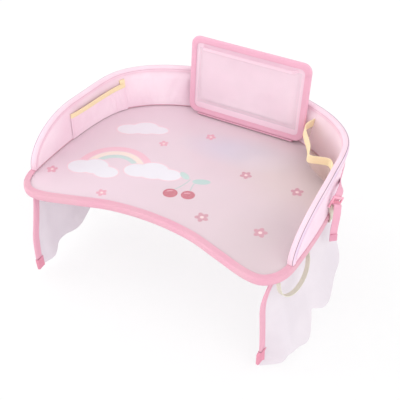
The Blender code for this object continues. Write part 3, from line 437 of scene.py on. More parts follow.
def disc(name, seat, rim, centre, rings, thickness, finish, z, ripple=0.0, frame_of=Matrix()):
    """A sheet inside a rim of flat points, in rings about its centre, at height z with soft ripples on it."""
    centre = Vector((*centre, 0))
    flats = [centre]
    for ring in range(1, rings + 1):
        flats += [centre.lerp(Vector((point[0], point[1], 0)), ring / rings) for point in rim]
    count = len(rim)
    faces = [(0, 1 + k, 1 + (k + 1) % count) for k in range(count)]
    faces += [(a, d, c, b) for a, b, c, d in tube_faces(rings, count, 1)]
    points = []
    for flat in flats:
        lift = z + ripple * (0.5 + 0.5 * drift(flat.x, flat.y, 0, scale=22))
        points.append(frame_of @ Vector((flat.x, flat.y, lift)))
    obj = mesh_object(name, points, faces, FINISHES[finish], [(flat.x, flat.y) for flat in flats])
    return settle(thicken(obj, thickness), *seat)


# A net's rows stand this share of a cell apart, and its points this far from the cut edge
NET_ROW = 0.87
NET_CLEARANCE = 0.55


def cut_cloth(name, seat, outline, cell, place, thickness, finish):
    """A sheet cut to an outline of flat (along, across) points, with an even net of cells inside it."""
    rim = [Vector(point) for point in outline]
    edges = [(k, (k + 1) % len(rim)) for k in range(len(rim))]
    table = np.array(rim)
    low, high = table.min(axis=0), table.max(axis=0)
    inside = []
    for row in range(int((high[1] - low[1]) / (cell * NET_ROW)) + 1):
        across = low[1] + row * cell * NET_ROW
        for column in range(int((high[0] - low[0]) / cell) + 1):
            point = Vector((low[0] + (column + row % 2 / 2) * cell, across))
            if np.min(np.hypot(table[:, 0] - point.x, table[:, 1] - point.y)) > cell * NET_CLEARANCE:
                inside.append(point)
    flats, _, faces, *_ = delaunay_2d_cdt(rim + inside, edges, [], 1, 1e-7)
    points = [place(*flat) for flat in flats]
    faces = [tuple(face) for face in faces]
    obj = mesh_object(name, points, faces, FINISHES[finish], [tuple(flat) for flat in flats])
    tidy_mesh(obj)
    return settle(thicken(obj, thickness, even=False), *seat)


def bead(name, seat, ends, radius, finish, count, sides=12, waver=0.05):
    """A soft round bead between two points, slightly uneven along its length."""
    start, end = (Vector(point) for point in ends)
    axis = (end - start).normalized()
    side = axis.cross(Vector((0, 0, 1))).normalized()
    up = side.cross(axis)
    sizes = [0.0, 0.7, *[1.0] * (count - 3), 0.7, 0.0]
    shares = [0.0, 0.002, *steps(0.008, 0.992, count - 4), 0.998, 1.0]
    points, uvs = [], []
    length = (end - start).length
    for share, size in zip(shares, sizes):
        reach = radius * size * (1 + waver * drift(share * 40, 0, 0))
        for turn in range(sides):
            angle = 2 * math.pi * turn / sides
            points.append(start.lerp(end, share) + (side * math.cos(angle) + up * math.sin(angle)) * reach)
            uvs.append((share * length, angle * radius))
    obj = mesh_object(name, points, tube_faces(len(shares), sides), FINISHES[finish], uvs)
    tidy_mesh(obj, weld=radius / 50)
    return settle(obj, *seat)


# (reach along, rise, width) of the rings of a stitch
STITCH_SHAPE = (
    (-0.5, -0.6, 0.35), (-0.36, 0.35, 0.9), (0.0, 0.75, 1.0), (0.36, 0.35, 0.9), (0.5, -0.6, 0.35),
)
STITCH_SIDES = 6


def sew(name, seat, path, size=STITCH, finish="thread"):
    """Stitches along a path of (point, outward normal), each one arched and pulled in at its ends."""
    pitch, length, radius = size
    places = [Vector(point) for point, _ in path]
    normals = [Vector(normal).normalized() for _, normal in path]
    runs = length_along(places)
    count = max(int(runs[-1] / pitch), 1)
    table = np.array([[*p, *n] for p, n in zip(places, normals)])

    def read(distance):
        row = [np.interp(distance, runs, table[:, k]) for k in range(6)]
        return Vector(row[:3]), Vector(row[3:]).normalized()

    points, faces = [], []
    rings, sides = len(STITCH_SHAPE), STITCH_SIDES
    for stitch in range(count):
        middle = (stitch + 0.5) * runs[-1] / count
        base = len(points)
        _, normal = read(middle)
        before, _ = read(middle - length / 2)
        after, _ = read(middle + length / 2)
        along = (after - before).normalized() if (after - before).length > 1e-9 else Vector((1, 0, 0))
        across = along.cross(normal).normalized()
        for reach, rise, share in STITCH_SHAPE:
            centre, _ = read(middle + reach * length)
            centre = centre + normal * rise * radius
            for turn in range(sides):
                angle = 2 * math.pi * turn / sides
                spoke = across * math.cos(angle) + normal * math.sin(angle)
                points.append(centre + spoke * radius * share)
        faces += tube_faces(rings, sides, base)
        faces.append(tuple(base + sides - 1 - k for k in range(sides)))
        faces.append(tuple(base + (rings - 1) * sides + k for k in range(sides)))
    return settle(mesh_object(name, points, faces, FINISHES[finish]), *seat)


def seam_path(at, stations, out, step=0.001):
    """(point, outward direction) at each station of at(station, out)."""
    return [(at(station, out), at(station, out + step) - at(station, out)) for station in stations]


# Materials. Colours are as a screen shows them, from 0 to 255


def paint(colour):
    """A colour as the light it stands for."""
    shares = [value / 255 for value in colour]
    return tuple(s / 12.92 if s <= 0.04045 else ((s + 0.055) / 1.055) ** 2.4 for s in shares)


class Signal:
    """A socket in a Python expression: each operator adds its Math node."""

    def __init__(self, finish, socket):
        self.finish = finish
        self.socket = socket

    def math(self, operation, *values):
        numbered = dict(enumerate(values))
        return self.finish.node("ShaderNodeMath", {"operation": operation}, numbered)

    def __add__(self, other):
        return self.math("ADD", self, other)

    __radd__ = __add__

    def __sub__(self, other):
        return self.math("SUBTRACT", self, other)

    def __rsub__(self, other):
        return self.math("SUBTRACT", other, self)

    def __mul__(self, other):
        return self.math("MULTIPLY", self, other)

    __rmul__ = __mul__

    def __truediv__(self, other):
        return self.math("DIVIDE", self, other)

    def __pow__(self, other):
        return self.math("POWER", self, other)

    def __neg__(self):
        return self * -1.0


def absolute(signal):
    return signal.math("ABSOLUTE", signal)


def sine(signal):
    return signal.math("SINE", signal)


def root(signal):
    return signal.math("SQRT", signal)


def larger(signal, other):
    return signal.math("MAXIMUM", signal, other)


def share_of(signal):
    """The value kept between 0 and 1."""
    return signal.math("MINIMUM", larger(signal, 0.0), 1.0)


class Finish:
    """A material built round one Principled shader."""

    def __init__(self, name, roughness, **sockets):
        self.material = bpy.data.materials.new(name)
        self.material.use_nodes = True
        self.tree = self.material.node_tree
        self.shader = self.tree.nodes["Principled BSDF"]
        self.shader.inputs["Roughness"].default_value = roughness
        for socket, value in sockets.items():
            self.shader.inputs[socket.replace("_", " ")].default_value = value

    def node(self, kind, settings=None, inputs=None, output=0):
        """A node of this kind: its settings come first, then the values or links of its sockets."""
        made = self.tree.nodes.new(kind)
        for setting, value in (settings or {}).items():
            setattr(made, setting, value)
        for socket, value in (inputs or {}).items():
            self.join(made.inputs[socket], value)
        return Signal(self, made.outputs[output])

    def join(self, socket, value):
        if isinstance(value, Signal):
            self.tree.links.new(value.socket, socket)
        elif socket.type == "RGBA":
            socket.default_value = (*paint(value), 1.0)
        else:
            socket.default_value = value

    def feed(self, socket, value):
        self.join(self.shader.inputs[socket], value)

    def mix(self, share, first, second):
        """A colour from the first, at 0, to the second, at 1."""
        settings = {"data_type": "RGBA"}
        return self.node("ShaderNodeMix", settings, {0: share, 6: first, 7: second}, output=2)

    def axes(self, vector):
        node = self.node("ShaderNodeSeparateXYZ", None, {0: vector}).socket.node
        return [Signal(self, node.outputs[k]) for k in range(3)]

    def place(self):
        """The place on the piece, in metres."""
        return self.node("ShaderNodeTexCoord", None, None, output="Object")

    def cloth_map(self):
        """(along, across) the piece, in metres."""
        along, across, _ = self.axes(self.node("ShaderNodeUVMap", {"uv_map": "cloth"}))
        return along, across

    def mottle(self, scale, detail=3.0):
        """Soft noise about 0.5, at this many cycles in a metre."""
        inputs = {"Vector": self.place(), "Scale": scale, "Detail": detail}
        return self.node("ShaderNodeTexNoise", None, inputs, output="Fac")

    def threads(self, pitch):
        """The height of a plain weave, from 0 to 1, with this distance between its threads."""
        along, across = self.cloth_map()
        turn = math.pi / pitch
        return sine(along * turn) * sine(across * turn) * 0.5 + 0.5

    def dress(self, colour, height, strength, distance, rough=None):
        """Gives the shader its colour, relief and roughness, and hands the material over."""
        self.feed("Base Color", colour)
        if rough is not None:
            self.feed("Roughness", share_of(rough))
        bump = {"Height": height, "Strength": strength, "Distance": distance}
        self.feed("Normal", self.node("ShaderNodeBump", None, bump, output="Normal"))
        return self.material


def ridges(signal, pitch):
    """Even ridges from 0 to 1, with this distance between them."""
    return sine(signal * (2 * math.pi / pitch)) * 0.5 + 0.5


def woven(name, colour, shade, pitch=0.0007, depth=0.35, tint=None, **sockets):
    """A plain woven cloth: threads with painted shade between them, faint slubs, and a slow drift between two
    close colours.
    """
    finish = Finish(name, 0.8, **sockets)
    threads = finish.threads(pitch)
    slubs = finish.mottle(900.0, 2.0)
    base = finish.mix(share_of((finish.mottle(14.0) - 0.38) * 3.2), colour, shade)
    if tint is not None:
        patches = finish.mottle(22.0, 1.0)
        base = finish.mix(share_of((patches - 0.55) * 6.0) * 0.5, base, tint)
    # Painted shade between the threads, broken by the slubs.
    base = finish.mix(share_of((1 - threads) * 0.55 + (slubs - 0.5) * 0.5), base, shade)
    return finish.dress(base, threads * 0.7 + slubs * 0.5, depth, 0.00025, slubs * 0.16 + 0.72)


def ribbed(name, colour, groove_shade, rib=0.0012, depth=0.5, edge=None):
    """Tape or webbing: fine ribs across it, with painted shade in the grooves between them."""
    finish = Finish(name, 0.75)
    along, across = finish.cloth_map()
    height = ridges(along, rib) * 0.7 + ridges(across, rib * 0.6) * 0.3
    fuzz = finish.mottle(1400.0, 2.0)
    base = finish.mix(share_of((finish.mottle(30.0) - 0.35) * 2.2), colour, edge or colour)
    # Painted shade: the grooves between the ribs are darker.
    base = finish.mix(share_of((1 - height) * 0.6 + (fuzz - 0.5) * 0.4), base, groove_shade)
    return finish.dress(base, height + fuzz * 0.3, depth, 0.0003, fuzz * 0.15 + 0.68)


def plain(name, colour, other, scale, roughness, depth, distance=0.0002):
    """A surface without a weave: a grain at one scale over a slow change of colour."""
    finish = Finish(name, roughness)
    grain = finish.mottle(scale, 4.0)
    base = finish.mix(share_of(grain * 0.6 + finish.mottle(scale / 30, 2.0) * 0.6 - 0.1), colour, other)
    return finish.dress(base, grain, depth, distance, grain * 0.2 + (roughness - 0.1))


def film_finish(name, alpha, roughness):
    """Clear vinyl: mostly see-through, with a faint haze that thickens in soft patches."""
    finish = Finish(name, roughness, Coat_Weight=0.4)
    haze = finish.mottle(26.0)
    fine = finish.mottle(180.0, 2.0)
    finish.feed("Alpha", share_of((haze - 0.3) * alpha * 0.8 + alpha * 0.7))
    base = finish.mix(share_of(haze), (250, 246, 250), (255, 255, 255))
    return finish.dress(base, haze * 0.8 + fine * 0.1, 0.25, 0.0006, fine * 0.1 + (roughness - 0.05))


def net_finish(name, colour, thread, pitch=0.0013, slant=0.6):
    """A sheer net: round holes between fine threads, with the cloth thicker at its threads."""
    finish = Finish(name, 0.8)
    along, across = finish.cloth_map()
    first, second = [sine((along + across * tilt) * (2 * math.pi / pitch)) for tilt in (slant, -slant)]
    solid = share_of((absolute(first) - absolute(second)) * 0.5 + 0.55)
    finish.feed("Alpha", share_of(solid * 0.35 + 0.42))
    base = finish.mix(share_of(solid * 0.7 + finish.mottle(20.0, 2.0) * 0.3), colour, thread)
    return finish.dress(base, solid, 0.4, 0.0003)


class Drawing:
    """Shapes on the printed sheet, in metres on the tray. Each is a mask: 1 inside, 0 outside."""

    def __init__(self, finish):
        self.x, self.y, _ = finish.axes(finish.place())

    def mask(self, distance, soft=0.0005):
        """1 where the distance is below 0, with a narrow soft edge."""
        return share_of(0.5 - distance / soft)

    def turned(self, x, y, angle):
        """(along, across) axes through a point, turned by this many degrees."""
        turn = math.radians(angle)
        right, up = self.x - x, self.y - y
        along = right * math.cos(turn) + up * math.sin(turn)
        across = up * math.cos(turn) - right * math.sin(turn)
        return along, across

    def oval(self, x, y, width, height, angle=0.0, soft=0.0005):
        along, across = self.turned(x, y, angle)
        reach = root((along / width) ** 2.0 + (across / height) ** 2.0)
        return self.mask((reach - 1.0) * min(width, height), soft)

    def cloud(self, puffs, angle, grow=0.0):
        joined = None
        for x, y, width, height in puffs:
            mask = self.oval(x, y, width + grow, height + grow, angle)
            joined = larger(joined, mask) if joined else mask
        return joined

    def arch(self, x, y, radius, width, angle):
        """A half ring, open towards the bottom as it is turned."""
        along, across = self.turned(x, y, angle)
        ring = self.mask(absolute(root(along * along + across * across) - radius) - width / 2)
        return ring * self.mask(-across)

    def stroke(self, x, y, length, width, angle, bend):
        """A rounded line, bent into a shallow arc."""
        along, across = self.turned(x, y, angle)
        bowed = across - along * along * bend
        past = larger(absolute(along) - length / 2, 0.0)
        return self.mask(root(past * past + bowed * bowed) - width / 2)

    def blossom(self, x, y, size, angle, petals=5):
        """A flat flower with round petals."""
        along, across = self.turned(x, y, angle)
        lobes = absolute(sine(along.math("ARCTAN2", across, along) * (petals / 2)))
        reach = root(along * along + across * across)
        return self.mask(reach - (lobes * 0.42 + 0.58) * size)


ARCH_PLACE = (-0.104, -0.030)
ARCH_TURN = 24
# (radius, width, colour) of the rainbow's bands
ARCHES = (
    (0.0520, 0.0105, (243, 186, 203)),
    (0.0415, 0.0085, (247, 226, 214)),
    (0.0330, 0.0075, (196, 216, 212)),
)
CLOUD_RIM = 0.0016
CLOUD_RIM_COLOUR = (246, 205, 216)
# The clouds' colour, turn and puffs, each puff as (x, y, width, height)
CLOUDS = (
    (
        (236, 233, 240), 20,
        ((-0.150, -0.046, 0.019, 0.015), (-0.132, -0.036, 0.020, 0.017), (-0.110, -0.040, 0.018, 0.013)),
    ),
    (
        (236, 233, 240), 20,
        ((-0.072, -0.014, 0.020, 0.015), (-0.052, -0.004, 0.023, 0.019), (-0.028, -0.002, 0.019, 0.013)),
    ),
    (
        (238, 232, 240), 24,
        ((-0.140, 0.070, 0.020, 0.013), (-0.120, 0.084, 0.021, 0.016), (-0.100, 0.088, 0.016, 0.010)),
    ),
)
# (x, y, width, height, turn) of the leaves and cherries, (x, y, length, width, turn, bend) of the lines
CHERRIES = ((-0.004, -0.036, 0.0105, 0.0098, 20), (0.020, -0.028, 0.0100, 0.0094, 10))
STALKS = ((0.002, -0.014, 0.036, 0.0014, 72, 6.0), (0.016, -0.010, 0.030, 0.0014, 100, -7.0))
GLINTS = ((-0.007, -0.032, 0.007, 0.0014, 34, -9.0), (0.017, -0.025, 0.007, 0.0014, 30, -9.0))
LEAVES = (
    ((0.022, 0.007, 0.0130, 0.0060, 24), (181, 210, 205)),
    ((-0.006, 0.008, 0.0100, 0.0050, -30), (190, 216, 210)),
)
# (x, y, size, turn) of the blossoms
BLOSSOMS = (
    (-0.182, -0.072, 0.0085, 10), (0.070, 0.052, 0.0090, 40), (0.150, 0.052, 0.0095, 4),
    (0.142, -0.050, 0.0100, 60), (0.060, -0.060, 0.0100, 25), (-0.020, 0.112, 0.0080, 50),
    (-0.074, 0.062, 0.0075, 15), (-0.088, -0.082, 0.0080, 30),
)
BLOSSOM_HEART = 0.26
DULL_BLOSSOM_X = 0.06


def print_finish():
    """The printed sheet: a rainbow between pale clouds, two cherries and scattered blossoms on pink, over
    painted reflections and painted shade of the film.
    """
    finish = Finish("tray_print", 0.5, Coat_Weight=0.7, Coat_Roughness=0.16)
    drawing = Drawing(finish)
    # Painted reflections and painted shade of the film, under the drawings: a grey-beige wash towards the
    # right, pinker towards the left, a pale lilac cloud at the rear right with faint pink and beige patches
    # beside it, and a darker patch of painted shade at the right front.
    painted_reflection_right = share_of(drawing.x * 3.2 + 0.30 + (finish.mottle(9.0, 2.0) - 0.5) * 0.5)
    layers = [
        (painted_reflection_right * 0.9, (213, 192, 196)),
        (share_of((drawing.x + 0.02) * -5.0) * 0.5, (236, 206, 218)),
        (drawing.oval(0.045, 0.100, 0.070, 0.028, 8, soft=0.030) * 0.85, (213, 203, 220)),
        (drawing.oval(0.082, 0.092, 0.030, 0.020, 34, soft=0.010) * 0.35, (232, 214, 226)),
        (drawing.oval(0.140, 0.075, 0.060, 0.090, 70, soft=0.060) * 0.5, (222, 205, 199)),
        (drawing.oval(0.168, -0.040, 0.070, 0.045, 60, soft=0.060) * 0.6, (202, 182, 186)),
    ]
    for radius, width, colour in ARCHES:
        layers.append((drawing.arch(*ARCH_PLACE, radius, width, ARCH_TURN), colour))
    for colour, turn, puffs in CLOUDS:
        layers.append((drawing.cloud(puffs, turn, CLOUD_RIM), CLOUD_RIM_COLOUR))
        layers.append((drawing.cloud(puffs, turn), colour))
    layers += [(drawing.stroke(*stalk), (176, 200, 196)) for stalk in STALKS]
    layers += [(drawing.oval(*leaf), colour) for leaf, colour in LEAVES]
    layers += [(drawing.oval(*cherry), (196, 70, 96)) for cherry in CHERRIES]
    layers += [(drawing.stroke(*glint), (240, 176, 190)) for glint in GLINTS]
    for x, y, size, angle in BLOSSOMS:
        heart = size * BLOSSOM_HEART
        shade = (232, 158, 178) if x < DULL_BLOSSOM_X else (208, 142, 158)
        layers.append((drawing.blossom(x, y, size, angle), shade))
        layers.append((drawing.oval(x, y, heart, heart), (246, 214, 216)))
    picture = (231, 206, 217)
    for mask, colour in layers:
        picture = finish.mix(mask, picture, colour)
    grain = finish.mottle(700.0, 2.0)
    picture = finish.mix(share_of((grain - 0.5) * 0.6 + 0.06), picture, (214, 190, 202))
    return finish.dress(picture, finish.threads(0.0008) * 0.3 + grain * 0.3, 0.12, 0.0002)


def hem_finish():
    """The wall's hem: pale tape inside and over the top, a dark seam line darkened with painted shadow, and
    the cover's cloth outside.
    """
    finish = Finish("wall_hem", 0.75)
    along, across = finish.cloth_map()
    ribs = ridges(along, 0.0012)
    clouds = finish.mottle(30.0)
    fuzz = finish.mottle(1400.0, 2.0)
    inside = finish.mix(share_of((clouds - 0.35) * 2.0), (250, 222, 234), (243, 210, 224))
    outside = finish.mix(share_of((clouds - 0.35) * 2.4), (246, 222, 236), (228, 208, 234))
    base = finish.mix(share_of((across - HEM_SHOULDER) / 0.0004), inside, outside)
    # Painted shade in the grooves between the ribs.
    base = finish.mix(share_of((1 - ribs) * 0.5 + (fuzz - 0.5) * 0.4) * 0.5, base, (228, 186, 204))
    # A dark seam line where the hem meets the cover, and a thinner line on the inside: grooves in the relief,
    # darkened with painted shadow.
    shoulder = share_of(1.35 - absolute(across - HEM_SHOULDER) / 0.00042)
    base = finish.mix(shoulder * 0.85, base, (126, 92, 112))
    lower = share_of(1.3 - absolute(across - HEM_INNER_LINE) / 0.0004)
    base = finish.mix(lower * 0.7, base, (206, 148, 172))
    height = ribs * 0.7 + fuzz * 0.3 - shoulder * 1.6 - lower * 1.2
    return finish.dress(base, height, 0.5, 0.0003, fuzz * 0.15 + 0.68)


FINISHES = {
    "print": print_finish(),
    "film": film_finish("tray_film", 0.07, 0.14),
    "window": film_finish("window_film", 0.12, 0.10),
    "lining": woven("wall_lining", (251, 231, 240), (243, 214, 227), Sheen_Weight=0.12),
    "cover": woven("wall_cover", (250, 228, 239), (240, 212, 228), tint=(234, 216, 240), Sheen_Weight=0.12),
    "underside": woven("tray_underside", (236, 216, 226), (220, 196, 208)),
    "binding": ribbed("tray_binding", (233, 184, 197), (218, 158, 176), rib=0.0011, edge=(236, 170, 193)),
    "hem": hem_finish(),
    "yellow": ribbed("yellow_elastic", (251, 232, 192), (240, 214, 166), rib=0.0014),
    "cream": ribbed("cream_elastic", (232, 228, 212), (208, 204, 186), edge=(216, 212, 196)),
    "net": net_finish("pocket_net", (232, 212, 206), (222, 198, 190)),
    "holder": woven("holder_cloth", (248, 220, 232), (238, 206, 220), pitch=0.0006),
    "holder_binding": ribbed("holder_binding", (244, 190, 209), (228, 162, 188), rib=0.0013, depth=0.7),
    "window_tape": ribbed("window_tape", (248, 218, 230), (234, 196, 212), rib=0.0013),
    "pile": plain("loop_pile", (230, 186, 202), (206, 158, 178), 2600.0, 0.95, 0.9, 0.0005),
    "wing": woven("wing_cloth", (230, 222, 228), (221, 213, 220), pitch=0.0006, depth=0.25),
    "wing_binding": ribbed("wing_binding", (235, 178, 196), (218, 154, 176)),
    "wing_end": ribbed("wing_binding_end", (230, 154, 175), (212, 132, 156)),
    "webbing": ribbed("belt_webbing", (243, 184, 204), (226, 156, 180), depth=0.7),
    # The tail's folded end: the same webbing in a darker copy, painted shade.
    "dark_webbing": ribbed("webbing_fold_painted_shade", (234, 168, 190), (214, 138, 164), depth=0.7),
    "plastic": plain("lock_plastic", (250, 186, 204), (245, 174, 194), 900.0, 0.34, 0.08, 0.0001),
    "foam": plain("wall_foam", (238, 232, 222), (216, 208, 194), 1200.0, 0.95, 0.8, 0.0004),
    "board": plain("stiff_board", (206, 204, 200), (186, 184, 180), 300.0, 0.7, 0.2),
    "thread": plain("pink_thread", (248, 206, 220), (232, 176, 198), 1500.0, 0.7, 0.4, 0.0001),
    "yellow_thread": plain("yellow_thread", (248, 232, 196), (232, 208, 156), 1500.0, 0.7, 0.4, 0.0001),
}


# Floor

FLOOR_CENTRE = (0.0, 0.045)
FLOOR_RINGS = 26
# (name, height, thickness, ripple, finish, slot, node)
FLOOR_LAYERS = (
    ("tray_underside_cloth", 0.0005, 0.0010, 0.0, "underside", "pale_cloth", "tray_underside_fabric"),
    ("tray_print_panel", 0.0070, 0.0008, 0.0, "print", "printed_cloth", "tray_print_sheet"),
    ("tray_film_panel", 0.00795, 0.0004, 0.00006, "film", "clear_film", "tray_clear_film"),
)


def make_floor():
    inset = BINDING_THICKNESS + 2 * GAP
    rim = [PLAN.place(share, -inset) for share in steps(0.0, 1.0, 252)[:-1]]
    flat, area = (TRAY_WIDTH, TRAY_DEPTH), polygon_area(rim)
    for name, z, thickness, ripple, finish, slot, node in FLOOR_LAYERS:
        obj = disc(name, ("tray", slot, node), rim, FLOOR_CENTRE, FLOOR_RINGS, thickness, finish, z, ripple)


def make_edge_binding():
    half = FLOOR_Z / 2
    side = half + GAP + BINDING_THICKNESS / 2
    nose = -BINDING_THICKNESS / 2
    flats = (-BINDING_WIDTH + 0.0001, -0.0070, -0.0040)
    section = [(out, side) for out in flats]
    for angle in steps(math.pi / 2, -math.pi / 2, 10):
        section.append((nose - BINDING_NOSE * (1 - math.cos(angle) ** 0.8), side * math.sin(angle)))
    section += [(out, -side) for out in reversed(flats)]

    def place(share, corner):
        out, up = corner
        wave = 0.00010 * drift(share * 90, 0, 0) + 0.00006 * math.sin(share * PLAN.length * 900)
        inner = smoothstep(-out, 0.004, 0.010)
        return PLAN.place(share, out + wave * inner * 2, half + up)

    seat = ("tray", "pink_tape", "tray_edge_binding")
    lay("tray_binding", seat, place, steps(0.0, 1.0, 504), section, BINDING_THICKNESS, "binding", closed=True)
    reach = WALL_START * 0.985
    front = [share % 1.0 for share in steps(-reach, reach, 200)]
    for name, shares, z, up in (
        ("tray_binding_stitches", front, BINDING_TOP_Z, (0, 0, 1)),
        ("tray_binding_stitches_below", steps(0, 1, 500), BINDING_BOTTOM_Z, (0, 0, -1)),
    ):
        row = [(PLAN.place(share, BINDING_STITCH_INSET - BINDING_WIDTH, z), up) for share in shares]
        sew(name, ("tray", "pink_tape"), row)


# Wall

PUFF_SCALE = 10.0
PUFF_PRESSURE = 1.5
PUFF_SLACK = 0.02
PUFF_FRAMES = 20
PUFF_SHARE = 0.45
LINING_CAP = 0.0042
COVER_CAP = 0.0022
# (distance behind the left pocket's rear seam, slant, width, height) of the lining's folds
RIDGES = (
    (0.005, -0.20, 0.0034, 0.0026), (0.017, 0.35, 0.0042, 0.0024), (0.030, 0.10, 0.0040, 0.0022),
    (0.047, -0.25, 0.0048, 0.0030), (0.060, 0.45, 0.0038, 0.0024), (0.076, 0.60, 0.0050, 0.0034),
    (0.090, 0.35, 0.0040, 0.0026), (0.110, -0.30, 0.0050, 0.0022), (0.140, 0.25, 0.0060, 0.0018),
    (0.190, -0.20, 0.0070, 0.0014),
)


def make_puffs(columns=130, rows=12):
    """How far the wall's two cloths puff out over their foam, simulated with the wall laid flat."""
    per_column, per_side = rows + 1, (columns + 1) * (rows + 1)
    profile = wall_columns(back_steps=40)
    reach, rise = [d for d, _ in profile], [height for _, height in profile]
    points, faces, sewn = [], [], set()
    for side in (0, 1):
        for i, distance in enumerate(steps(0.0, WALL_LENGTH, columns)):
            height = float(np.interp(distance, reach, rise))
            for j, share in enumerate(steps(0.0, 1.0, rows)):
                up = height * share
                if min(i, columns - i, j, rows - j) == 0 or held_down(distance, up, side, columns):
                    sewn.add(len(points))
                place = (distance, side * WALL_THICKNESS, up)
                points.append([value * PUFF_SCALE for value in place])
        for i in range(columns):
            for j in range(rows):
                a = side * per_side + i * per_column + j
                face = (a, a + per_column, a + per_column + 1, a + 1)
                faces.append(face if side == 0 else face[::-1])
    rim = [i * per_column for i in range(columns)] + [columns * per_column + j for j in range(rows)]
    rim += [i * per_column + rows for i in range(columns, 0, -1)] + list(range(rows, 0, -1))
    for a, b in zip(rim, rim[1:] + rim[:1]):
        faces.append((b, a, a + per_side, b + per_side))
    mesh = bpy.data.meshes.new("wall_pad")
    mesh.from_pydata(points, [], faces)
    pad = bpy.data.objects.new("wall_pad", mesh)
    bpy.context.scene.collection.objects.link(pad)
    pad.vertex_groups.new(name="sewn").add(sorted(sewn), 1.0, "REPLACE")
    modifier = pad.modifiers.new("cloth", "CLOTH")
    modifier.collision_settings.use_collision = False
    cloth = modifier.settings
    cloth.quality = 6
    cloth.mass = 0.1
    cloth.bending_stiffness = 0.05
    cloth.use_pressure = True
    cloth.uniform_pressure_force = PUFF_PRESSURE
    cloth.effector_weights.gravity = 0
    cloth.vertex_group_mass = "sewn"
    cloth.shrink_min = -PUFF_SLACK
    for number in range(1, PUFF_FRAMES + 1):
        bpy.context.scene.frame_set(number)
    settled = pad.evaluated_get(bpy.context.evaluated_depsgraph_get()).data
    places = np.empty(len(points) * 3, np.float32)
    settled.vertices.foreach_get("co", places)
    moved = (places.reshape(-1, 3)[:, 1] - np.array(points)[:, 1]) / PUFF_SCALE
    bpy.data.objects.remove(pad)
    bpy.context.scene.frame_set(1)
    lining, cover = moved.reshape(2, columns + 1, per_column)
    return {"lining": np.maximum(-lining, 0.0), "cover": np.maximum(cover, 0.0)}


def held_down(distance, up, side, columns):
    """Where the pad's cloth is sewn or strapped: at the pockets' side seams, and under the belt."""
    share = wall_share(distance)
    cell = WALL_LENGTH / columns / PLAN.length
    if side == 0:
        seams = (*LEFT_POCKET, *RIGHT_POCKET)
        return up < BELT_HEIGHT and min(abs(share - seam) for seam in seams) < cell * 0.6
    strapped = BELT_RIGHT < share < BELT_LEFT + 0.01
    return strapped and abs(up - belt_height(share) + WALL_BASE_Z) < STRAP_WIDTH * 0.6


def puff(side, distance, height_share):
    """The simulated stand-off at a place, read between its table's cells."""
    table = PUFFS[side]
    columns, rows = table.shape[0] - 1, table.shape[1] - 1
    x = min(max(distance / WALL_LENGTH, 0.0), 1.0) * columns
    y = min(max(height_share, 0.0), 1.0) * rows
    i, j = min(int(x), columns - 1), min(int(y), rows - 1)
    s, t = smoothstep(x - i, 0, 1), smoothstep(y - j, 0, 1)
    near = table[i, j] * (1 - t) + table[i, j + 1] * t
    far = table[i + 1, j] * (1 - t) + table[i + 1, j + 1] * t
    return near * (1 - s) + far * s


def eased(value, cap):
    """The value, slowed down as it nears its cap."""
    return cap * math.tanh(value / cap)


def below_hem(height_share, height):
    """1 on the wall's free face, and 0 where the hem tape holds it."""
    return smoothstep(height * (1 - height_share), HEM_WIDTH + 0.0003, HEM_WIDTH + 0.008)


def lining_relief(distance, height_share, height):
    """How far the lining stands in: its puffs, and its folds behind the left pocket's rear seam."""
    behind = (LEFT_POCKET[0] - WALL_START) * PLAN.length - distance
    rise = height * height_share
    folds = sum(size * hump(behind, centre + slant * rise, width) for centre, slant, width, size in RIDGES)
    folds *= swell(height_share) ** 0.7
    folds *= 1.15 - 0.5 * height_share
    share = wall_share(distance)
    free = 1.0
    for low, high in (LEFT_POCKET, RIGHT_POCKET):
        free *= smoothstep(max(low - share, share - high) * PLAN.length, -0.001, 0.004)
    if PUFFS:
        soft = puff("lining", distance, height_share) * PUFF_SHARE
    else:
        soft = 0.0005 * (0.5 + 0.5 * drift(distance * 45, height_share * 1.5, 0, seed=3))
        soft *= swell(height_share)
    return eased(folds + soft, LINING_CAP) * free * below_hem(height_share, height)


def cover_relief(distance, height_share, height):
    """How far the cover puffs out, pressed in under the belt."""
    share = wall_share(distance)
    from_belt = abs(height * height_share - belt_height(share) + WALL_BASE_Z)
    strap = smoothstep(from_belt, STRAP_WIDTH * 0.55, STRAP_WIDTH * 0.55 + 0.006)
    lock = smoothstep(max(BELT_RIGHT - share, share - BELT_LEFT - 0.012) * PLAN.length, 0.0, 0.012)
    pressed = max(strap, lock) * below_hem(height_share, height)
    away = 1 - hump(distance, (PLAN.side_share(LOCK_PLACE[1]) - WALL_START) * PLAN.length, 0.030)
    if PUFFS:
        return eased(puff("cover", distance, height_share) * PUFF_SHARE, COVER_CAP) * pressed * away
    waves = 0.5 + 0.5 * drift(distance * 38, height_share * 1.2, 5.0)
    folds = 0.5 + 0.5 * math.sin(distance * 310 + 2.5 * drift(distance * 12, 0, 2.0))
    return (0.0011 * waves + 0.0005 * folds) * swell(height_share) ** 0.8 * pressed * away


PUFFS = make_puffs()


def make_wall_layer(name, out, thickness, finish, slot, node, relief=None, side=0):
    columns = wall_columns()
    rise = thickness / 2 * WALL_LEAN / WALL_HEIGHT

    def place(column, share):
        distance, height = column
        up = rise + (height - 2 * rise) * share
        puffed = side * relief(distance, share, height) if relief else 0.0
        return wall_point(wall_share(distance), WALL_BASE_Z + up, out + puffed)

    obj = lay(name, ("tray", slot, node), place, columns, steps(0.0, 1.0, 16), thickness, finish)
    if relief is None:
        return
    area = sum((b[0] - a[0]) * (a[1] + b[1]) / 2 for a, b in zip(columns, columns[1:]))


def make_wall():
    make_wall_layer("wall_foam_pad", FOAM_OUT, WALL_FOAM, "foam", "foam", "wall_foam_core")
    faces = (("lining", LINING_OUT, lining_relief, -1), ("cover", COVER_OUT, cover_relief, 1))
    for name, out, relief, side in faces:
        piece, node = f"wall_{name}_cloth", f"wall_{name}"
        make_wall_layer(piece, out, WALL_CLOTH, name, "wall_cloth", node, relief, side)


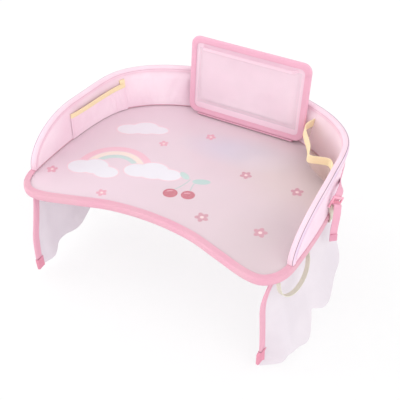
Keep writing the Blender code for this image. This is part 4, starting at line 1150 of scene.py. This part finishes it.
def hem_stations():
    """(distance, height, and the edge's outward direction along and up) round the wall's free edge."""
    stations = []
    for distance, height in wall_columns():
        from_end = min(distance, WALL_LENGTH - distance)
        side = -1.0 if distance < WALL_LENGTH / 2 else 1.0
        away = max(1 - from_end / WALL_RISE, 0.0) / WALL_RISE
        normal = Vector((side * away, height / WALL_HEIGHT**2)).normalized()
        stations.append((distance, height, normal.x, normal.y))
    first, last = stations[0], stations[-1]
    return [(first[0], GAP, -1.0, 0.0)] + stations + [(last[0], GAP, 1.0, 0.0)]


def rounded_fold(half_gap, width, thickness, count=6):
    """A folded tape's section, as (inwards from the edge, across), with a round nose."""
    side = half_gap + GAP + thickness / 2
    nose = -GAP - thickness * 0.75
    start = max(side * 0.35, thickness)
    section = [(inwards, -side) for inwards in steps(width, start, 4)]
    for angle in steps(-math.pi / 2, math.pi / 2, count)[1:-1]:
        section.append((nose + (start - nose) * (1 - math.cos(angle) ** 0.7), side * math.sin(angle)))
    return section + [(inwards, side) for inwards in steps(start, width, 4)]


def make_wall_hem():
    middle = WALL_THICKNESS / 2

    def at(station, inwards, across):
        distance, height, along, up = station
        share = wall_share(distance - along * inwards)
        return wall_point(share, WALL_BASE_Z + height - up * inwards, middle + across)

    def place(station, corner):
        inwards, across = corner
        wave = 0.00016 * (0.5 + 0.5 * drift(station[0] * 130, 0, 0, seed=7))
        wave *= smoothstep(inwards, 0.002, 0.008)
        return at(station, inwards, across + math.copysign(wave, across))

    stations = hem_stations()
    section = rounded_fold(middle, HEM_WIDTH, HEM_THICKNESS, 10)
    lay("wall_hem", ("tray", "hem_tape", "wall_hem_tape"), place, stations, section, HEM_THICKNESS, "hem")
    face = middle + GAP + HEM_THICKNESS + TAPE_THREAD_LIFT
    for name, side in (("wall_hem_stitches_inside", -1), ("wall_hem_stitches_outside", 1)):

        def on_face(station, out):
            return at(station, HEM_WIDTH - STITCH_INSET, side * out)

        sew(name, ("tray", "hem_tape"), seam_path(on_face, stations[2:-2], face))


# Pockets inside the wall

# (place, slant, width, height) of the folds in each pocket
LEFT_GATHERS = (
    (0.21, 0.03, 0.022, 0.0026), (0.33, -0.05, 0.030, 0.0012), (0.10, 0.02, 0.018, 0.0014),
    (0.58, 0.06, 0.050, 0.0010), (0.80, -0.04, 0.040, 0.0009),
)
RIGHT_GATHERS = ((0.25, 0.05, 0.040, 0.0010), (0.50, -0.04, 0.050, 0.0008), (0.78, 0.03, 0.040, 0.0010))


def make_pocket(name, span, height, band, mouth, finish, slot, gathers):
    start, end = span
    closest = GAP + ELASTIC / 2
    top = height + GAP

    def folds(along, height_share):
        total = 0.0
        for centre, slant, width, size in gathers:
            total += size * hump(along, centre + slant * (height_share - 0.5), width)
        ends = smoothstep(min(along, 1 - along), 0.03, 0.14)
        return total * ends * swell(height_share * 0.86 + 0.07)

    def at(along, z, out):
        return wall_point(start + (end - start) * along, POCKET_BASE_Z + z, -closest - out)

    def place_panel(point, share):
        along, bulge = point
        return at(along, height * share, bulge * share**POCKET_RISE_POWER + folds(along, share))

    def place_band(point, share):
        along, bulge = point
        ends = smoothstep(min(along, 1 - along), 0.02, 0.1)
        wave = 0.00022 * math.sin(along * 70) * ends * (1 - 0.4 * share)
        return at(along, top + band * share, bulge + abs(wave))

    def on_band(point, out):
        along, bulge = point
        return at(along, top + band * BAND_STITCH_SHARE, bulge + out)

    rise = steps(0.0, 1.0, 14)
    seat = ("tray", slot, f"{name}_panel")
    panel = lay(f"{name}_cloth", seat, place_panel, mouth, rise, POCKET_CLOTH, finish)
    seat = ("tray", "yellow_elastic", f"{name}_elastic")
    elastic = lay(f"{name}_band", seat, place_band, mouth, steps(0.0, 1.0, 5), ELASTIC, "yellow")
    foot, run = [length_along([place_panel(point, share) for point in mouth])[-1] for share in (0.0, 1.0)]
    row = seam_path(on_band, mouth[3:-3], ELASTIC / 2 + BAND_THREAD_LIFT)
    sew(f"{name}_band_stitches", ("tray", "yellow_elastic"), row, finish="yellow_thread")


def make_pocket_tab():
    """The folded end of the left pocket's band, above its rear corner."""
    low = POCKET_BASE_Z + LEFT_POCKET_HEIGHT + LEFT_BAND_HEIGHT + 2 * GAP
    share = LEFT_POCKET[0] + TAB_WIDTH / 2 / PLAN.length
    near = -GAP - ELASTIC / 2
    far = near - ELASTIC - GAP
    middle, half = (near + far) / 2, (near - far) / 2
    top = low + TAB_HEIGHT - half
    fold = [(near, z) for z in steps(low, top, 3)]
    fold += [(middle + half * math.cos(a), top + half * math.sin(a)) for a in steps(0, math.pi, 6)[1:-1]]
    fold += [(far, z) for z in steps(top, low, 3)]

    def place(along, corner):
        return wall_point(share + along / PLAN.length, corner[1], corner[0])

    seat = ("tray", "yellow_elastic", "pocket_left_tab")
    along = steps(-TAB_WIDTH / 2, TAB_WIDTH / 2, 6)
    lay("pocket_left_band_end", seat, place, along, fold, ELASTIC, "yellow")


def make_left_seam(name, share, side):
    """The row that sews one side of the left pocket down."""
    rear, front = LEFT_POCKET
    share += side * POCKET_SEAM_INSET / PLAN.length
    along = (share - rear) / (front - rear)
    bulge = LEFT_MOUTH_BULGE * math.sqrt(max(1 - (2 * along - 1) ** 2, 0.0))

    def at(up, out):
        rise = (up / LEFT_POCKET_HEIGHT) ** POCKET_RISE_POWER
        return wall_point(share, POCKET_BASE_Z + up, -GAP - ELASTIC / 2 - bulge * rise - out)

    row = seam_path(at, steps(0.003, 0.035, 12), POCKET_CLOTH / 2 + THREAD_LIFT)
    sew(name, ("tray", "wall_cloth"), row, FINE_STITCH)


def make_pockets():
    turns = steps(0.0, math.pi, 72)
    left_mouth = [((1 - math.cos(turn)) / 2, LEFT_MOUTH_BULGE * math.sin(turn)) for turn in turns]
    right_mouth = flowing(RIGHT_MOUTH, 9)
    heights = (LEFT_POCKET_HEIGHT, LEFT_BAND_HEIGHT)
    make_pocket("pocket_left", LEFT_POCKET, *heights, left_mouth, "lining", "wall_cloth", LEFT_GATHERS)
    heights = (RIGHT_POCKET_HEIGHT, RIGHT_BAND_HEIGHT)
    make_pocket("pocket_right", RIGHT_POCKET, *heights, right_mouth, "net", "pocket_mesh", RIGHT_GATHERS)
    make_pocket_tab()
    make_left_seam("pocket_left_front_seam", LEFT_POCKET[1], -1)
    make_left_seam("pocket_left_rear_seam", LEFT_POCKET[0], 1)


# Elastic loop under the right front corner


def make_loop():
    start = PLAN.side_share(LOOP_FRONT_Y)
    end = PLAN.side_share(LOOP_BACK_Y)
    top = BINDING_BOTTOM_Z - GAP - LOOP_THICKNESS / 2

    def centre(step):
        angle = math.pi * step
        share = start + (end - start) * ((1 - math.cos(angle)) / 2) ** LOOP_SKEW
        out = LOOP_REACH * math.sin(angle) - LOOP_INSET
        round_sag = (1 - abs(math.cos(angle)) ** LOOP_ROUNDNESS) ** (1 / LOOP_ROUNDNESS)
        return PLAN.place(share, out, top - LOOP_SAG * round_sag)

    along = (centre(1.0) - centre(0.0)).normalized()
    across = Vector((along.y, -along.x, 0))

    def place(step, side):
        return centre(step) + across * side * LOOP_WIDTH / 2

    seat = ("corner_loop", "cream_elastic", "corner_elastic_loop")
    lay("corner_loop_elastic", seat, place, steps(0.0, 1.0, 64), steps(-1, 1, 4), LOOP_THICKNESS, "cream")


# Phone holder

HOLDER = Matrix.Translation((HOLDER_X, HOLDER_Y, HOLDER_FOLD_Z)) @ Matrix.Rotation(-HOLDER_LEAN, 4, "X")
HOLDER_RINGS = 14
HOLDER_BOTTOM = HOLDER_BEAD + GAP
HOLDER_FRONT = HOLDER_BINDING + GAP
HOLDER_BACK = HOLDER_FRONT + HOLDER_CLOTH + GAP + HOLDER_BOARD + GAP
RIM_COUNTS = (48, 28)
CORNER_STEPS = 7


def rounded_rim(inset, radius):
    """(point, outward direction) round the holder, drawn in by inset, with equal counts of pieces."""
    width, height = HOLDER_WIDTH - 2 * inset, HOLDER_HEIGHT - 2 * inset
    rim = []
    for turn in range(4):
        across = 1 if turn in (0, 3) else -1
        up = 1 if turn in (0, 1) else -1
        centre = Vector((across * (width / 2 - radius), up * (height / 2 - radius)))
        for angle in steps(turn * math.pi / 2, (turn + 1) * math.pi / 2, CORNER_STEPS):
            away = Vector((math.cos(angle), math.sin(angle)))
            rim.append((centre + radius * away, away))
        upright = turn % 2
        run = (height if upright else width) - 2 * radius
        point, away = rim[-1]
        ahead = Vector((-away.y, away.x))
        count = RIM_COUNTS[upright]
        rim += [(point + ahead * run * k / count, away) for k in range(1, count)]
    return rim


def make_holder():
    middle_z = HOLDER_BOTTOM + HOLDER_HEIGHT / 2
    stand_up = HOLDER @ Matrix.Translation((0, 0, middle_z)) @ Matrix.Rotation(math.pi / 2, 4, "X")
    inset = HOLDER_BINDING + 2 * GAP
    rim = [point for point, _ in rounded_rim(inset, HOLDER_RADIUS - inset)]
    flat, area = (HOLDER_WIDTH - 2 * inset, HOLDER_HEIGHT - 2 * inset), polygon_area(rim)
    for side, depth in (("front", HOLDER_FRONT), ("back", HOLDER_BACK)):
        seat = ("holder", "holder_cloth", f"holder_{side}_fabric")
        z = -(depth + HOLDER_CLOTH / 2)
        name = f"holder_{side}_cloth"
        obj = disc(name, seat, rim, (0, 0), HOLDER_RINGS, HOLDER_CLOTH, "holder", z, frame_of=stand_up)
    half = (HOLDER_BACK + HOLDER_CLOTH - HOLDER_FRONT) / 2
    edge = rounded_rim(HOLDER_FRONT, HOLDER_RADIUS - HOLDER_FRONT)
    inner = rounded_rim(HOLDER_FRONT + HOLDER_BINDING_WIDTH, HOLDER_INNER_RADIUS)
    around = range(len(edge) + 1)

    def on_holder(index, inwards, across):
        point = edge[index % len(edge)][0]
        point = point + (inner[index % len(edge)][0] - point) * (inwards / HOLDER_BINDING_WIDTH)
        return HOLDER @ Vector((point.x, HOLDER_FRONT + half + across, middle_z + point.y))

    def place(index, corner):
        inwards, across = corner
        pucker = 0.5 + 0.5 * drift(index * 0.8, 0, 0, seed=5)
        wave = 0.00022 * pucker * smoothstep(inwards, 0.003, 0.008)
        return on_holder(index, inwards, across + math.copysign(wave, across))

    section = rounded_fold(half, HOLDER_BINDING_WIDTH, HOLDER_BINDING)
    seat = ("holder", "pink_tape", "holder_edge_binding")
    lay("holder_binding", seat, place, around, section, HOLDER_BINDING, "holder_binding", closed=True)
    face = half + GAP + HOLDER_BINDING + HOLDER_THREAD_LIFT
    for name, side in (("holder_stitches_front", -1), ("holder_stitches_back", 1)):
        away = HOLDER.to_3x3() @ Vector((0, side, 0))
        inwards = HOLDER_BINDING_WIDTH - BINDING_STITCH_INSET
        row = [(on_holder(index, inwards, side * face), away) for index in around]
        sew(name, ("holder", "pink_tape"), row)


def make_window():
    flat_y = HOLDER_FRONT - GAP - WINDOW_FILM / 2
    half = WINDOW_WIDTH / 2
    foot = half - WINDOW_BORDER
    shoulder = foot - WINDOW_GUSSET
    seam_top = WINDOW_BOTTOM + WINDOW_BORDER

    def lift(x, z):
        aside = smoothstep(foot - abs(x), 0.0, WINDOW_GUSSET)
        above = smoothstep(z - seam_top, 0.0, WINDOW_GUSSET)
        crown = WINDOW_CROWN * (1 - (x / half) ** 2)
        slack = 0.0004 * drift(x * 30, z * 30, 0) * aside * above
        return (WINDOW_DEPTH + crown) * min(aside, above) + slack

    def place(x, z):
        return HOLDER @ Vector((x, flat_y - lift(x, z), z))

    def place_tape(x, rise):
        return HOLDER @ Vector((x, flat_y - lift(x, WINDOW_TOP), WINDOW_TOP + GAP + rise))

    across = [-half, *steps(-foot, -shoulder, 8), *steps(-shoulder, shoulder, 36)[1:-1]]
    across += [*steps(shoulder, foot, 8), half]
    up = [WINDOW_BOTTOM, *steps(seam_top, seam_top + WINDOW_GUSSET, 8)]
    up += steps(seam_top + WINDOW_GUSSET, WINDOW_TOP, 20)[1:]
    seat = ("holder", "clear_film", "holder_clear_window")
    obj = lay("holder_window", seat, place, across, up, WINDOW_FILM, "window")
    seat = ("holder", "pink_tape", "holder_window_tape")
    inner = [x for x in across if abs(x) < foot]
    rises = steps(0.0, WINDOW_TAPE_WIDTH, 3)
    lay("holder_window_edge", seat, place_tape, inner, rises, WINDOW_TAPE, "window_tape")
    inset = WINDOW_BORDER / 2
    side, low, high = half - inset, WINDOW_BOTTOM + inset, WINDOW_TOP - 0.002
    seam = [(-side, z) for z in steps(high, low, 20)]
    seam += [(x, low) for x in steps(-side, side, 40)[1:]]
    seam += [(side, z) for z in steps(low, high, 20)[1:]]
    toward = HOLDER.to_3x3() @ Vector((0, -1, 0))
    face = flat_y - WINDOW_FILM / 2 - THREAD_LIFT
    row = [(HOLDER @ Vector((x, face, z)), toward) for x, z in seam]
    sew("holder_window_stitches", ("holder", "pink_tape"), row, FLAT_STITCH)


def make_holder_base():
    """The holder's hook-and-loop base behind its fold, and the bead that it turns about."""
    half = HOLDER_BASE_LENGTH / 2
    front = HOLDER_Y + HOLDER_BEAD + GAP
    low = FLOOR_Z + GAP
    for name, finish, slot, node in (
        ("holder_pile_strip", "pile", "loop_pile", "holder_loop_strip"),
        ("holder_flap", "holder_binding", "pink_tape", "holder_hook_flap"),
    ):

        def place(x, y):
            return (HOLDER_X + x, front + y, low + HOLDER_BASE / 2)

        along, across = steps(-half, half, 60), steps(0, HOLDER_BASE_WIDTH, 6)
        lay(name, ("tray", slot, node), place, along, across, HOLDER_BASE, finish)
        low += HOLDER_BASE + GAP
    side, near, far = half - STITCH_INSET, STITCH_INSET, HOLDER_BASE_WIDTH - STITCH_INSET
    rim = [(-side, near), (side, near), (side, far), (-side, far), (-side, near)]
    row = [((HOLDER_X + x, front + y, low - GAP + THREAD_LIFT), (0, 0, 1)) for x, y in rim]
    sew("holder_flap_stitches", ("tray", "pink_tape"), row, FLAT_STITCH)
    ends = [(HOLDER_X + end, HOLDER_Y, HOLDER_FOLD_Z) for end in (-half, half)]
    bead("holder_fold", ("tray", "pink_tape", "holder_fold_bead"), ends, HOLDER_BEAD, "holder_binding", 60)


# Side wings

WING_CELL = 0.0032
WING_TAPE_BOTTOM_Z = BINDING_BOTTOM_Z - GAP - WING_TAPE
WING_BEAD_Z = WING_TAPE_BOTTOM_Z - GAP - WING_BEAD


def wing_surface(side, flare, along, down, out=0.0):
    """A point of the wing in its hinge's frame, this far out from the middle of its cloth."""
    share = max(down / WING_DEPTH, 0.0)
    low = smoothstep(down, WING_FRONT_DEPTH + 0.003, WING_DEPTH)
    front = smoothstep(along, WING_FLARE_START + (WING_LOW_START - WING_FLARE_START) * low, WING_FLARE_END)
    back = smoothstep(along, WING_LOBE * 2 / 3, WING_LENGTH) * flare[1]
    flared = flare[0] * share**WING_FLARE_POWER * (front + back)
    belly = WING_BELLY * swell(share) * math.sin(math.pi * along / WING_LENGTH)
    return Vector((side * (flared - belly) + out, along, -WING_BEAD - GAP - down))


def wing_drape(side, along, down, seed):
    """Soft hanging folds that grow towards the free edge, and vanish at the seam and the binding."""
    free = smoothstep(down, 0.004, 0.090)
    edge = smoothstep(along, WING_END_WIDTH, WING_END_WIDTH + 0.025)
    flow = 0.0016 * math.sin(along * 95 + 0.8 * math.sin(down * 30) + seed)
    flow += 0.0016 * drift(along * 24, down * 9, 0, seed=seed)
    fine = 0.0004 * drift(along * 90, down * 40, 0, seed=seed + 4)
    return side * (flow * free + fine * smoothstep(down, 0.0, 0.02)) * edge


def make_wing(side_name, side, seed):
    flare = WING_FLARES[side_name]
    body = f"wing_{side_name}"
    front = Vector((side * WING_FRONT_X, WING_FRONT_Y, 0))
    back = Vector((side * WING_BACK_X, WING_FRONT_Y + WING_LENGTH, 0))
    along = (back - front).normalized()
    turned = Matrix((Vector((along.y, -along.x, 0)), along, Vector((0, 0, 1)))).transposed()
    hinge = Matrix.Translation(front + Vector((0, 0, WING_BEAD_Z))) @ turned.to_4x4()
    edge_line = flowing(WING_FRONT_EDGES[side_name], 6) / 1000
    hem_line = flowing(WING_HEMS[side_name], 5) / 1000

    def front_edge(down):
        return float(np.interp(down, edge_line[:, 0], edge_line[:, 1]))

    def place_panel(y, down):
        forward = front_edge(down) * max(1 - y / WING_LOBE, 0.0)
        point = wing_surface(side, flare, y, down, wing_drape(side, y, down, seed))
        return hinge @ (point + Vector((0, forward, 0)))

    front_side = [(0.0, down) for down in steps(0.0, hem_line[0][1] - 0.001, 48)]
    top = [(y, 0.0) for y in steps(WING_LENGTH, 0.0, 56)[1:-1]]
    outline = front_side + [tuple(point) for point in hem_line] + top
    seat = (body, "wing_cloth", f"{body}_panel")
    panel = cut_cloth(f"{body}_cloth", seat, outline, WING_CELL, place_panel, WING_CLOTH, "wing")
    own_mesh(panel)

    half_cloth = (WING_CLOTH + GAP) / 2
    binding_end = WING_FRONT_DEPTH * (1 - WING_END_SHARE)

    def place_binding(down, corner):
        inwards, out = corner
        wave = 0.00014 * (0.5 + 0.5 * drift(down * 260, 0, 0, seed=seed)) * smoothstep(inwards, 0.003, 0.009)
        out += math.copysign(wave, out)
        return hinge @ (wing_surface(side, flare, inwards, down, out) + Vector((0, front_edge(down), 0)))

    seat = (body, "pink_tape", f"{body}_front_binding")
    section = rounded_fold(half_cloth, WING_BINDING_WIDTH, WING_BINDING)
    downs = steps(0.0, binding_end, 48)
    binding = lay(f"{body}_binding", seat, place_binding, downs, section, WING_BINDING, "wing_binding")

    low, high = binding_end + WING_BINDING, WING_FRONT_DEPTH + WING_BINDING + 0.003

    def place_end(down, corner):
        inwards, out = corner
        reach = WING_END_REACHES[side_name] * smoothstep(down, low, low + 0.003)
        nose = front_edge(down) - WING_BINDING - reach
        return hinge @ (wing_surface(side, flare, inwards, down, out) + Vector((0, nose, 0)))

    seat = (body, "pink_tape", f"{body}_binding_end")
    section = rounded_fold(half_cloth + WING_BINDING / 2 + 0.0003, WING_END_WIDTH, WING_BINDING)
    downs = steps(low, high, 20)
    end = lay(f"{body}_binding_fold", seat, place_end, downs, section, WING_BINDING, "wing_end")

    seam_length = (back - front).length
    ends = [hinge @ Vector((0, y, 0)) for y in (WING_BEAD_START, seam_length)]
    hem = bead(f"{body}_bead", (body, "wing_cloth", f"{body}_hem_bead"), ends, WING_BEAD, "wing", 70)

    def place_tape(y, x):
        return hinge @ Vector((x, y, WING_TAPE_BOTTOM_Z - WING_BEAD_Z + WING_TAPE / 2))

    seat = ("tray", "pale_cloth", f"{body}_seam_tape")
    runs = steps(WING_BEAD_START / 2, seam_length, 60)
    sides = steps(-WING_TAPE_WIDTH / 2, WING_TAPE_WIDTH / 2, 4)
    lay(f"{body}_sewing_tape", seat, place_tape, runs, sides, WING_TAPE, "underside")
    polygon_area(outline)

    reach = half_cloth + GAP + WING_BINDING + TAPE_THREAD_LIFT
    for face in (-1, 1):
        face_name = "outer" if face == side else "inner"
        away = hinge.to_3x3() @ Vector((face, 0, 0))
        row = []
        for down in steps(0.004, binding_end - 0.002, 40):
            point = wing_surface(side, flare, WING_BINDING_WIDTH - STITCH_INSET, down, face * reach)
            row.append((hinge @ (point + Vector((0, front_edge(down), 0))), away))
        sew(f"{body}_stitches_{face_name}", (body, "pink_tape"), row)


# Belt

LOCK = (
    Matrix.Translation(LOCK_PLACE)
    @ Matrix.Rotation(LOCK_YAW, 4, "Z")
    @ Matrix.Rotation(math.pi / 2, 4, "X")
    @ Matrix.Rotation(-LOCK_TILT, 4, "Z")
)
HALF_STRAP = STRAP_WIDTH / 2
PATCH_STITCH_INSET = 0.0018


def belt_point(share, down, out):
    return wall_point(share, belt_height(share) - down, WALL_THICKNESS + out)


def strap(name, seat, route, finish):
    """A strap along a route of (middle, half of its width as a vector)."""

    def place(index, side):
        middle, half_width = route[index]
        return middle + half_width * side

    return lay(name, seat, place, range(len(route)), steps(-1, 1, 4), STRAP, finish)


def around_bar(middle, start, end, count):
    """Points of the lock's YZ plane round a bar, between two angles from +Y in degrees."""
    radius = math.hypot(LOCK_BAR, LOCK_THICKNESS) / 2 + GAP + STRAP / 2
    angles = steps(math.radians(start), math.radians(end), count)
    return [(middle + radius * math.cos(angle), radius * math.sin(angle)) for angle in angles]


def in_lock(points):
    half_width = LOCK.to_3x3() @ Vector((HALF_STRAP, 0, 0))
    return [(LOCK @ Vector((0, y, z)), half_width) for y, z in points]


def bezier(start, start_handle, end_handle, end, t):
    near = start * (1 - t) ** 3 + start_handle * (1 - t) ** 2 * t * 3
    return near + end_handle * (1 - t) * t**2 * 3 + end * t**3


def make_belt():
    """The strap: through the lock, twisting across to the wall, then round the back to its sewn end."""
    clear = LOCK_THICKNESS / 2 + GAP + STRAP / 2
    half = LOCK_LENGTH / 2
    threaded = in_lock([*around_bar(0.0, -270, -90, 20), (half - LOCK_BAR, -clear), (half, -clear)])
    out = 2 * GAP + STRAP / 2
    on_wall = []
    for share in steps(BELT_RIGHT, BELT_LEFT, 260):
        middle = belt_point(share, 0.0, out)
        on_wall.append((middle, belt_point(share, HALF_STRAP, out) - middle))
    back = (on_wall[1][0] - on_wall[0][0]).normalized()
    up = LOCK.to_3x3() @ Vector((0, 1, 0))
    (first, first_half), (last, last_half) = threaded[-1], on_wall[0]
    reach = (last - first).length / 3
    handles = (first + (up + back).normalized() * reach, last - back * reach)
    free = []
    for t in steps(0.0, 1.0, 24)[1:-1]:
        across = first_half.normalized().slerp(last_half.normalized(), math.sin(t * math.pi / 2))
        free.append((bezier(first, *handles, last, t), across * STRAP_WIDTH / 2))
    strap("belt_webbing", ("tray", "pink_webbing", "belt_strap"), threaded + free + on_wall, "webbing")
    patch_out = out + STRAP / 2 + GAP + PATCH / 2
    patch_half = PATCH_SIDE / 2
    reach = patch_half / PLAN.length

    def place_patch(share, down):
        return belt_point(share, down, patch_out)

    def on_patch(place, stand_off):
        aside, down = place
        return belt_point(BELT_LEFT + aside / PLAN.length, down, patch_out + stand_off)

    shares = steps(BELT_LEFT - reach, BELT_LEFT + reach, 12)
    seat = ("tray", "pink_webbing", "belt_end_patch")
    lay("belt_patch", seat, place_patch, shares, steps(-patch_half, patch_half, 10), PATCH, "webbing")
    inset = patch_half - PATCH_STITCH_INSET
    corners = [Vector(corner) * inset for corner in ((-1, -1), (1, -1), (1, 1), (-1, 1), (-1, -1), (1, 1))]
    places = [start.lerp(end, t) for start, end in zip(corners, corners[1:]) for t in steps(0.0, 1.0, 8)]
    row = seam_path(on_patch, places, PATCH / 2 + THREAD_LIFT)
    sew("belt_patch_stitches", ("tray", "pink_webbing"), row, FINE_STITCH)


def make_lock_tab():
    """The elastic tab: round the lock's lower bar, down the tray's edge and under it."""
    looped = in_lock(around_bar((LOCK_BAR - LOCK_LENGTH) / 2, 120, -110, 18))
    last, half_width = looped[-1]
    along_edge = Vector((0, HALF_STRAP, 0))
    edge_share = PLAN.side_share(LOCK_TAB_END[1])
    stand_off = GAP + STRAP
    low = BINDING_BOTTOM_Z - GAP - STRAP / 2
    side = PLAN.place(edge_share, stand_off, BINDING_BOTTOM_Z)
    corner = PLAN.place(edge_share, stand_off - STRAP / 2, low + GAP)
    under = PLAN.place(edge_share, -STRAP, low)
    end = Vector((*LOCK_TAB_END, low))
    shoulder = Vector((side.x, side.y, BINDING_TOP_Z))
    hanging = []
    for t in steps(0.0, 1.0, 16)[1:-1]:
        across = half_width.normalized().slerp(along_edge.normalized(), t)
        hanging.append((last.lerp(shoulder, t), across * STRAP_WIDTH / 2))
    folded = [(point, along_edge) for point in (shoulder, side, corner, under, end)]
    strap("belt_lock_strap", ("tray", "cream_elastic", "belt_lock_tab"), looped + hanging + folded, "cream")


def make_tail():
    """The strap's loose end: it turns over in front of the lock and hangs down to its sewn fold."""
    y, z = around_bar(0.0, 90, 90, 1)[0]
    start = LOCK @ Vector((0, y - 2 * GAP, z + STRAP + 3 * GAP))
    hinge = Matrix.Translation(start) @ Matrix.Rotation(LOCK_YAW, 4, "Z")
    hinge = hinge @ Matrix.Translation((0, -TAIL_RADIUS, 0))
    tilted = Vector((math.cos(LOCK_TILT), 0, -math.sin(LOCK_TILT)))
    level = Vector((1, 0, 0))
    route = []
    for share in steps(0.0, 1.0, 12):
        angle = math.pi * share
        middle = Vector((0, math.cos(angle), math.sin(angle))) * TAIL_RADIUS
        route.append((hinge @ middle, hinge.to_3x3() @ (tilted.slerp(level, share) * STRAP_WIDTH / 2)))
    for share in steps(0.0, 1.0, 30)[1:]:
        sway = -TAIL_SWAY * math.sin(2 * math.pi * share)
        middle = Vector((0, sway - TAIL_RADIUS, -TAIL_LENGTH * share))
        route.append((hinge @ middle, hinge.to_3x3() @ (level * STRAP_WIDTH / 2)))
    strap("belt_tail_webbing", ("belt_tail", "pink_webbing", "belt_tail"), route, "webbing")
    slack = TAIL_SWAY * math.sin(2 * math.pi * (1 - TAIL_FOLD / TAIL_LENGTH))
    face = -GAP - STRAP
    below = -TAIL_LENGTH - GAP - STRAP / 2
    fold = [(0.0, below), (face / 2, below - 0.0001), (face, -TAIL_LENGTH)]
    fold += [(face - slack * t, -TAIL_LENGTH + TAIL_FOLD * t) for t in steps(0.0, 1.0, 5)[1:]]

    def place_fold(side, corner):
        return hinge @ Vector((side * HALF_STRAP, corner[0] - TAIL_RADIUS, corner[1]))

    # The fold takes the darker copy of the webbing, painted shade.
    seat = ("belt_tail", "dark_webbing", "belt_tail_fold")
    lay("belt_tail_end", seat, place_fold, steps(-1, 1, 6), fold, STRAP, "dark_webbing")


def finish_rigid_nodes():
    """The boards and the lock keep their solids, in materials of their own."""
    finishes = {"tray_core_board": "board", "holder_board": "board", "belt_ladder_lock": "plastic"}
    for node, finish in finishes.items():
        solid = bpy.data.objects[node]
        solid.data.materials.clear()
        solid.data.materials.append(FINISHES[finish])


make_floor()
make_edge_binding()
make_wall()
make_wall_hem()
make_pockets()
make_loop()
make_holder()
make_window()
make_holder_base()
make_wing("right", 1, 2.0)
make_wing("left", -1, 9.0)
make_belt()
make_lock_tab()
make_tail()
finish_rigid_nodes()


# Studio

STUDIO_FLOOR_Z = -0.160
STUDIO_FLOOR_SIZE = 4.0
STUDIO_FLOOR_GLOW = 0.72
WORLD_LEVEL = 0.86
# (name, strength, width and turn in degrees) of the lamps
LAMPS = (("key", 0.84, 55, (58, 0, 62)), ("fill", 0.80, 90, (68, 0, -62)), ("side", 0.90, 60, (82, 0, -82)))
CAMERA_PLACE = Vector((0.4409, -0.7467, 0.6785))
CAMERA_AIM = Vector((0.0452, -0.0387, 0.0162))
CAMERA_LENS = 69.2
CAMERA_SENSOR = 36.0


def add_to_scene(name, data):
    obj = bpy.data.objects.new(name, data)
    bpy.context.scene.collection.objects.link(obj)
    return obj


def make_world():
    """Even white light, with plain white behind everything that is seen or mirrored."""
    world = bpy.data.worlds.new("studio")
    bpy.context.scene.world = world
    world.use_nodes = True
    nodes, links = world.node_tree.nodes, world.node_tree.links
    background = nodes["Background"]
    background.inputs["Color"].default_value = (1, 1, 1, 1)
    rays = nodes.new("ShaderNodeLightPath")
    clear = rays.outputs["Is Camera Ray"]
    for ray in ("Is Glossy Ray", "Is Transmission Ray"):
        either = nodes.new("ShaderNodeMath")
        either.operation = "MAXIMUM"
        links.new(clear, either.inputs[0])
        links.new(rays.outputs[ray], either.inputs[1])
        clear = either.outputs[0]
    level = nodes.new("ShaderNodeMapRange")
    level.inputs["To Min"].default_value = WORLD_LEVEL
    level.inputs["To Max"].default_value = 1.0
    links.new(clear, level.inputs["Value"])
    links.new(level.outputs[0], background.inputs["Strength"])


def make_studio_floor():
    """A white floor that glows for the camera, and takes the soft shadow."""
    mesh = bmesh.new()
    bmesh.ops.create_grid(mesh, x_segments=8, y_segments=8, size=STUDIO_FLOOR_SIZE)
    data = bpy.data.meshes.new("studio_floor")
    mesh.to_mesh(data)
    mesh.free()
    finish = Finish("studio_floor", 0.9)
    finish.feed("Base Color", finish.mix(finish.mottle(60.0, 2.0), (250, 250, 250), (247, 247, 248)))
    glow = finish.node("ShaderNodeEmission", None, {"Color": (255, 255, 255), "Strength": 1.0})
    rays = finish.node("ShaderNodeLightPath", None, None, output="Is Camera Ray")
    outputs = rays.socket.node.outputs
    glossy, clear = Signal(finish, outputs["Is Glossy Ray"]), Signal(finish, outputs["Is Transmission Ray"])
    share = larger(larger(rays, glossy), clear) * STUDIO_FLOOR_GLOW
    shader = Signal(finish, finish.shader.outputs[0])
    mixed = finish.node("ShaderNodeMixShader", None, {0: share, 1: shader, 2: glow})
    finish.tree.links.new(mixed.socket, finish.tree.nodes["Material Output"].inputs["Surface"])
    data.materials.append(finish.material)
    floor = add_to_scene("studio_floor", data)
    floor.location = (0, 0, STUDIO_FLOOR_Z)


def make_lamps():
    for name, level, angle, turn in LAMPS:
        lamp = bpy.data.lights.new(name, "SUN")
        lamp.energy = level
        lamp.angle = math.radians(angle)
        add_to_scene(name, lamp).rotation_euler = [math.radians(value) for value in turn]


def make_camera():
    data = bpy.data.cameras.new("camera")
    data.lens = CAMERA_LENS
    data.sensor_width = CAMERA_SENSOR
    camera = add_to_scene("camera", data)
    camera.location = CAMERA_PLACE
    camera.rotation_euler = (CAMERA_AIM - CAMERA_PLACE).to_track_quat("-Z", "Y").to_euler()
    bpy.context.scene.camera = camera


make_world()
make_studio_floor()
make_lamps()
make_camera()
bpy.context.scene.view_settings.view_transform = "Standard"
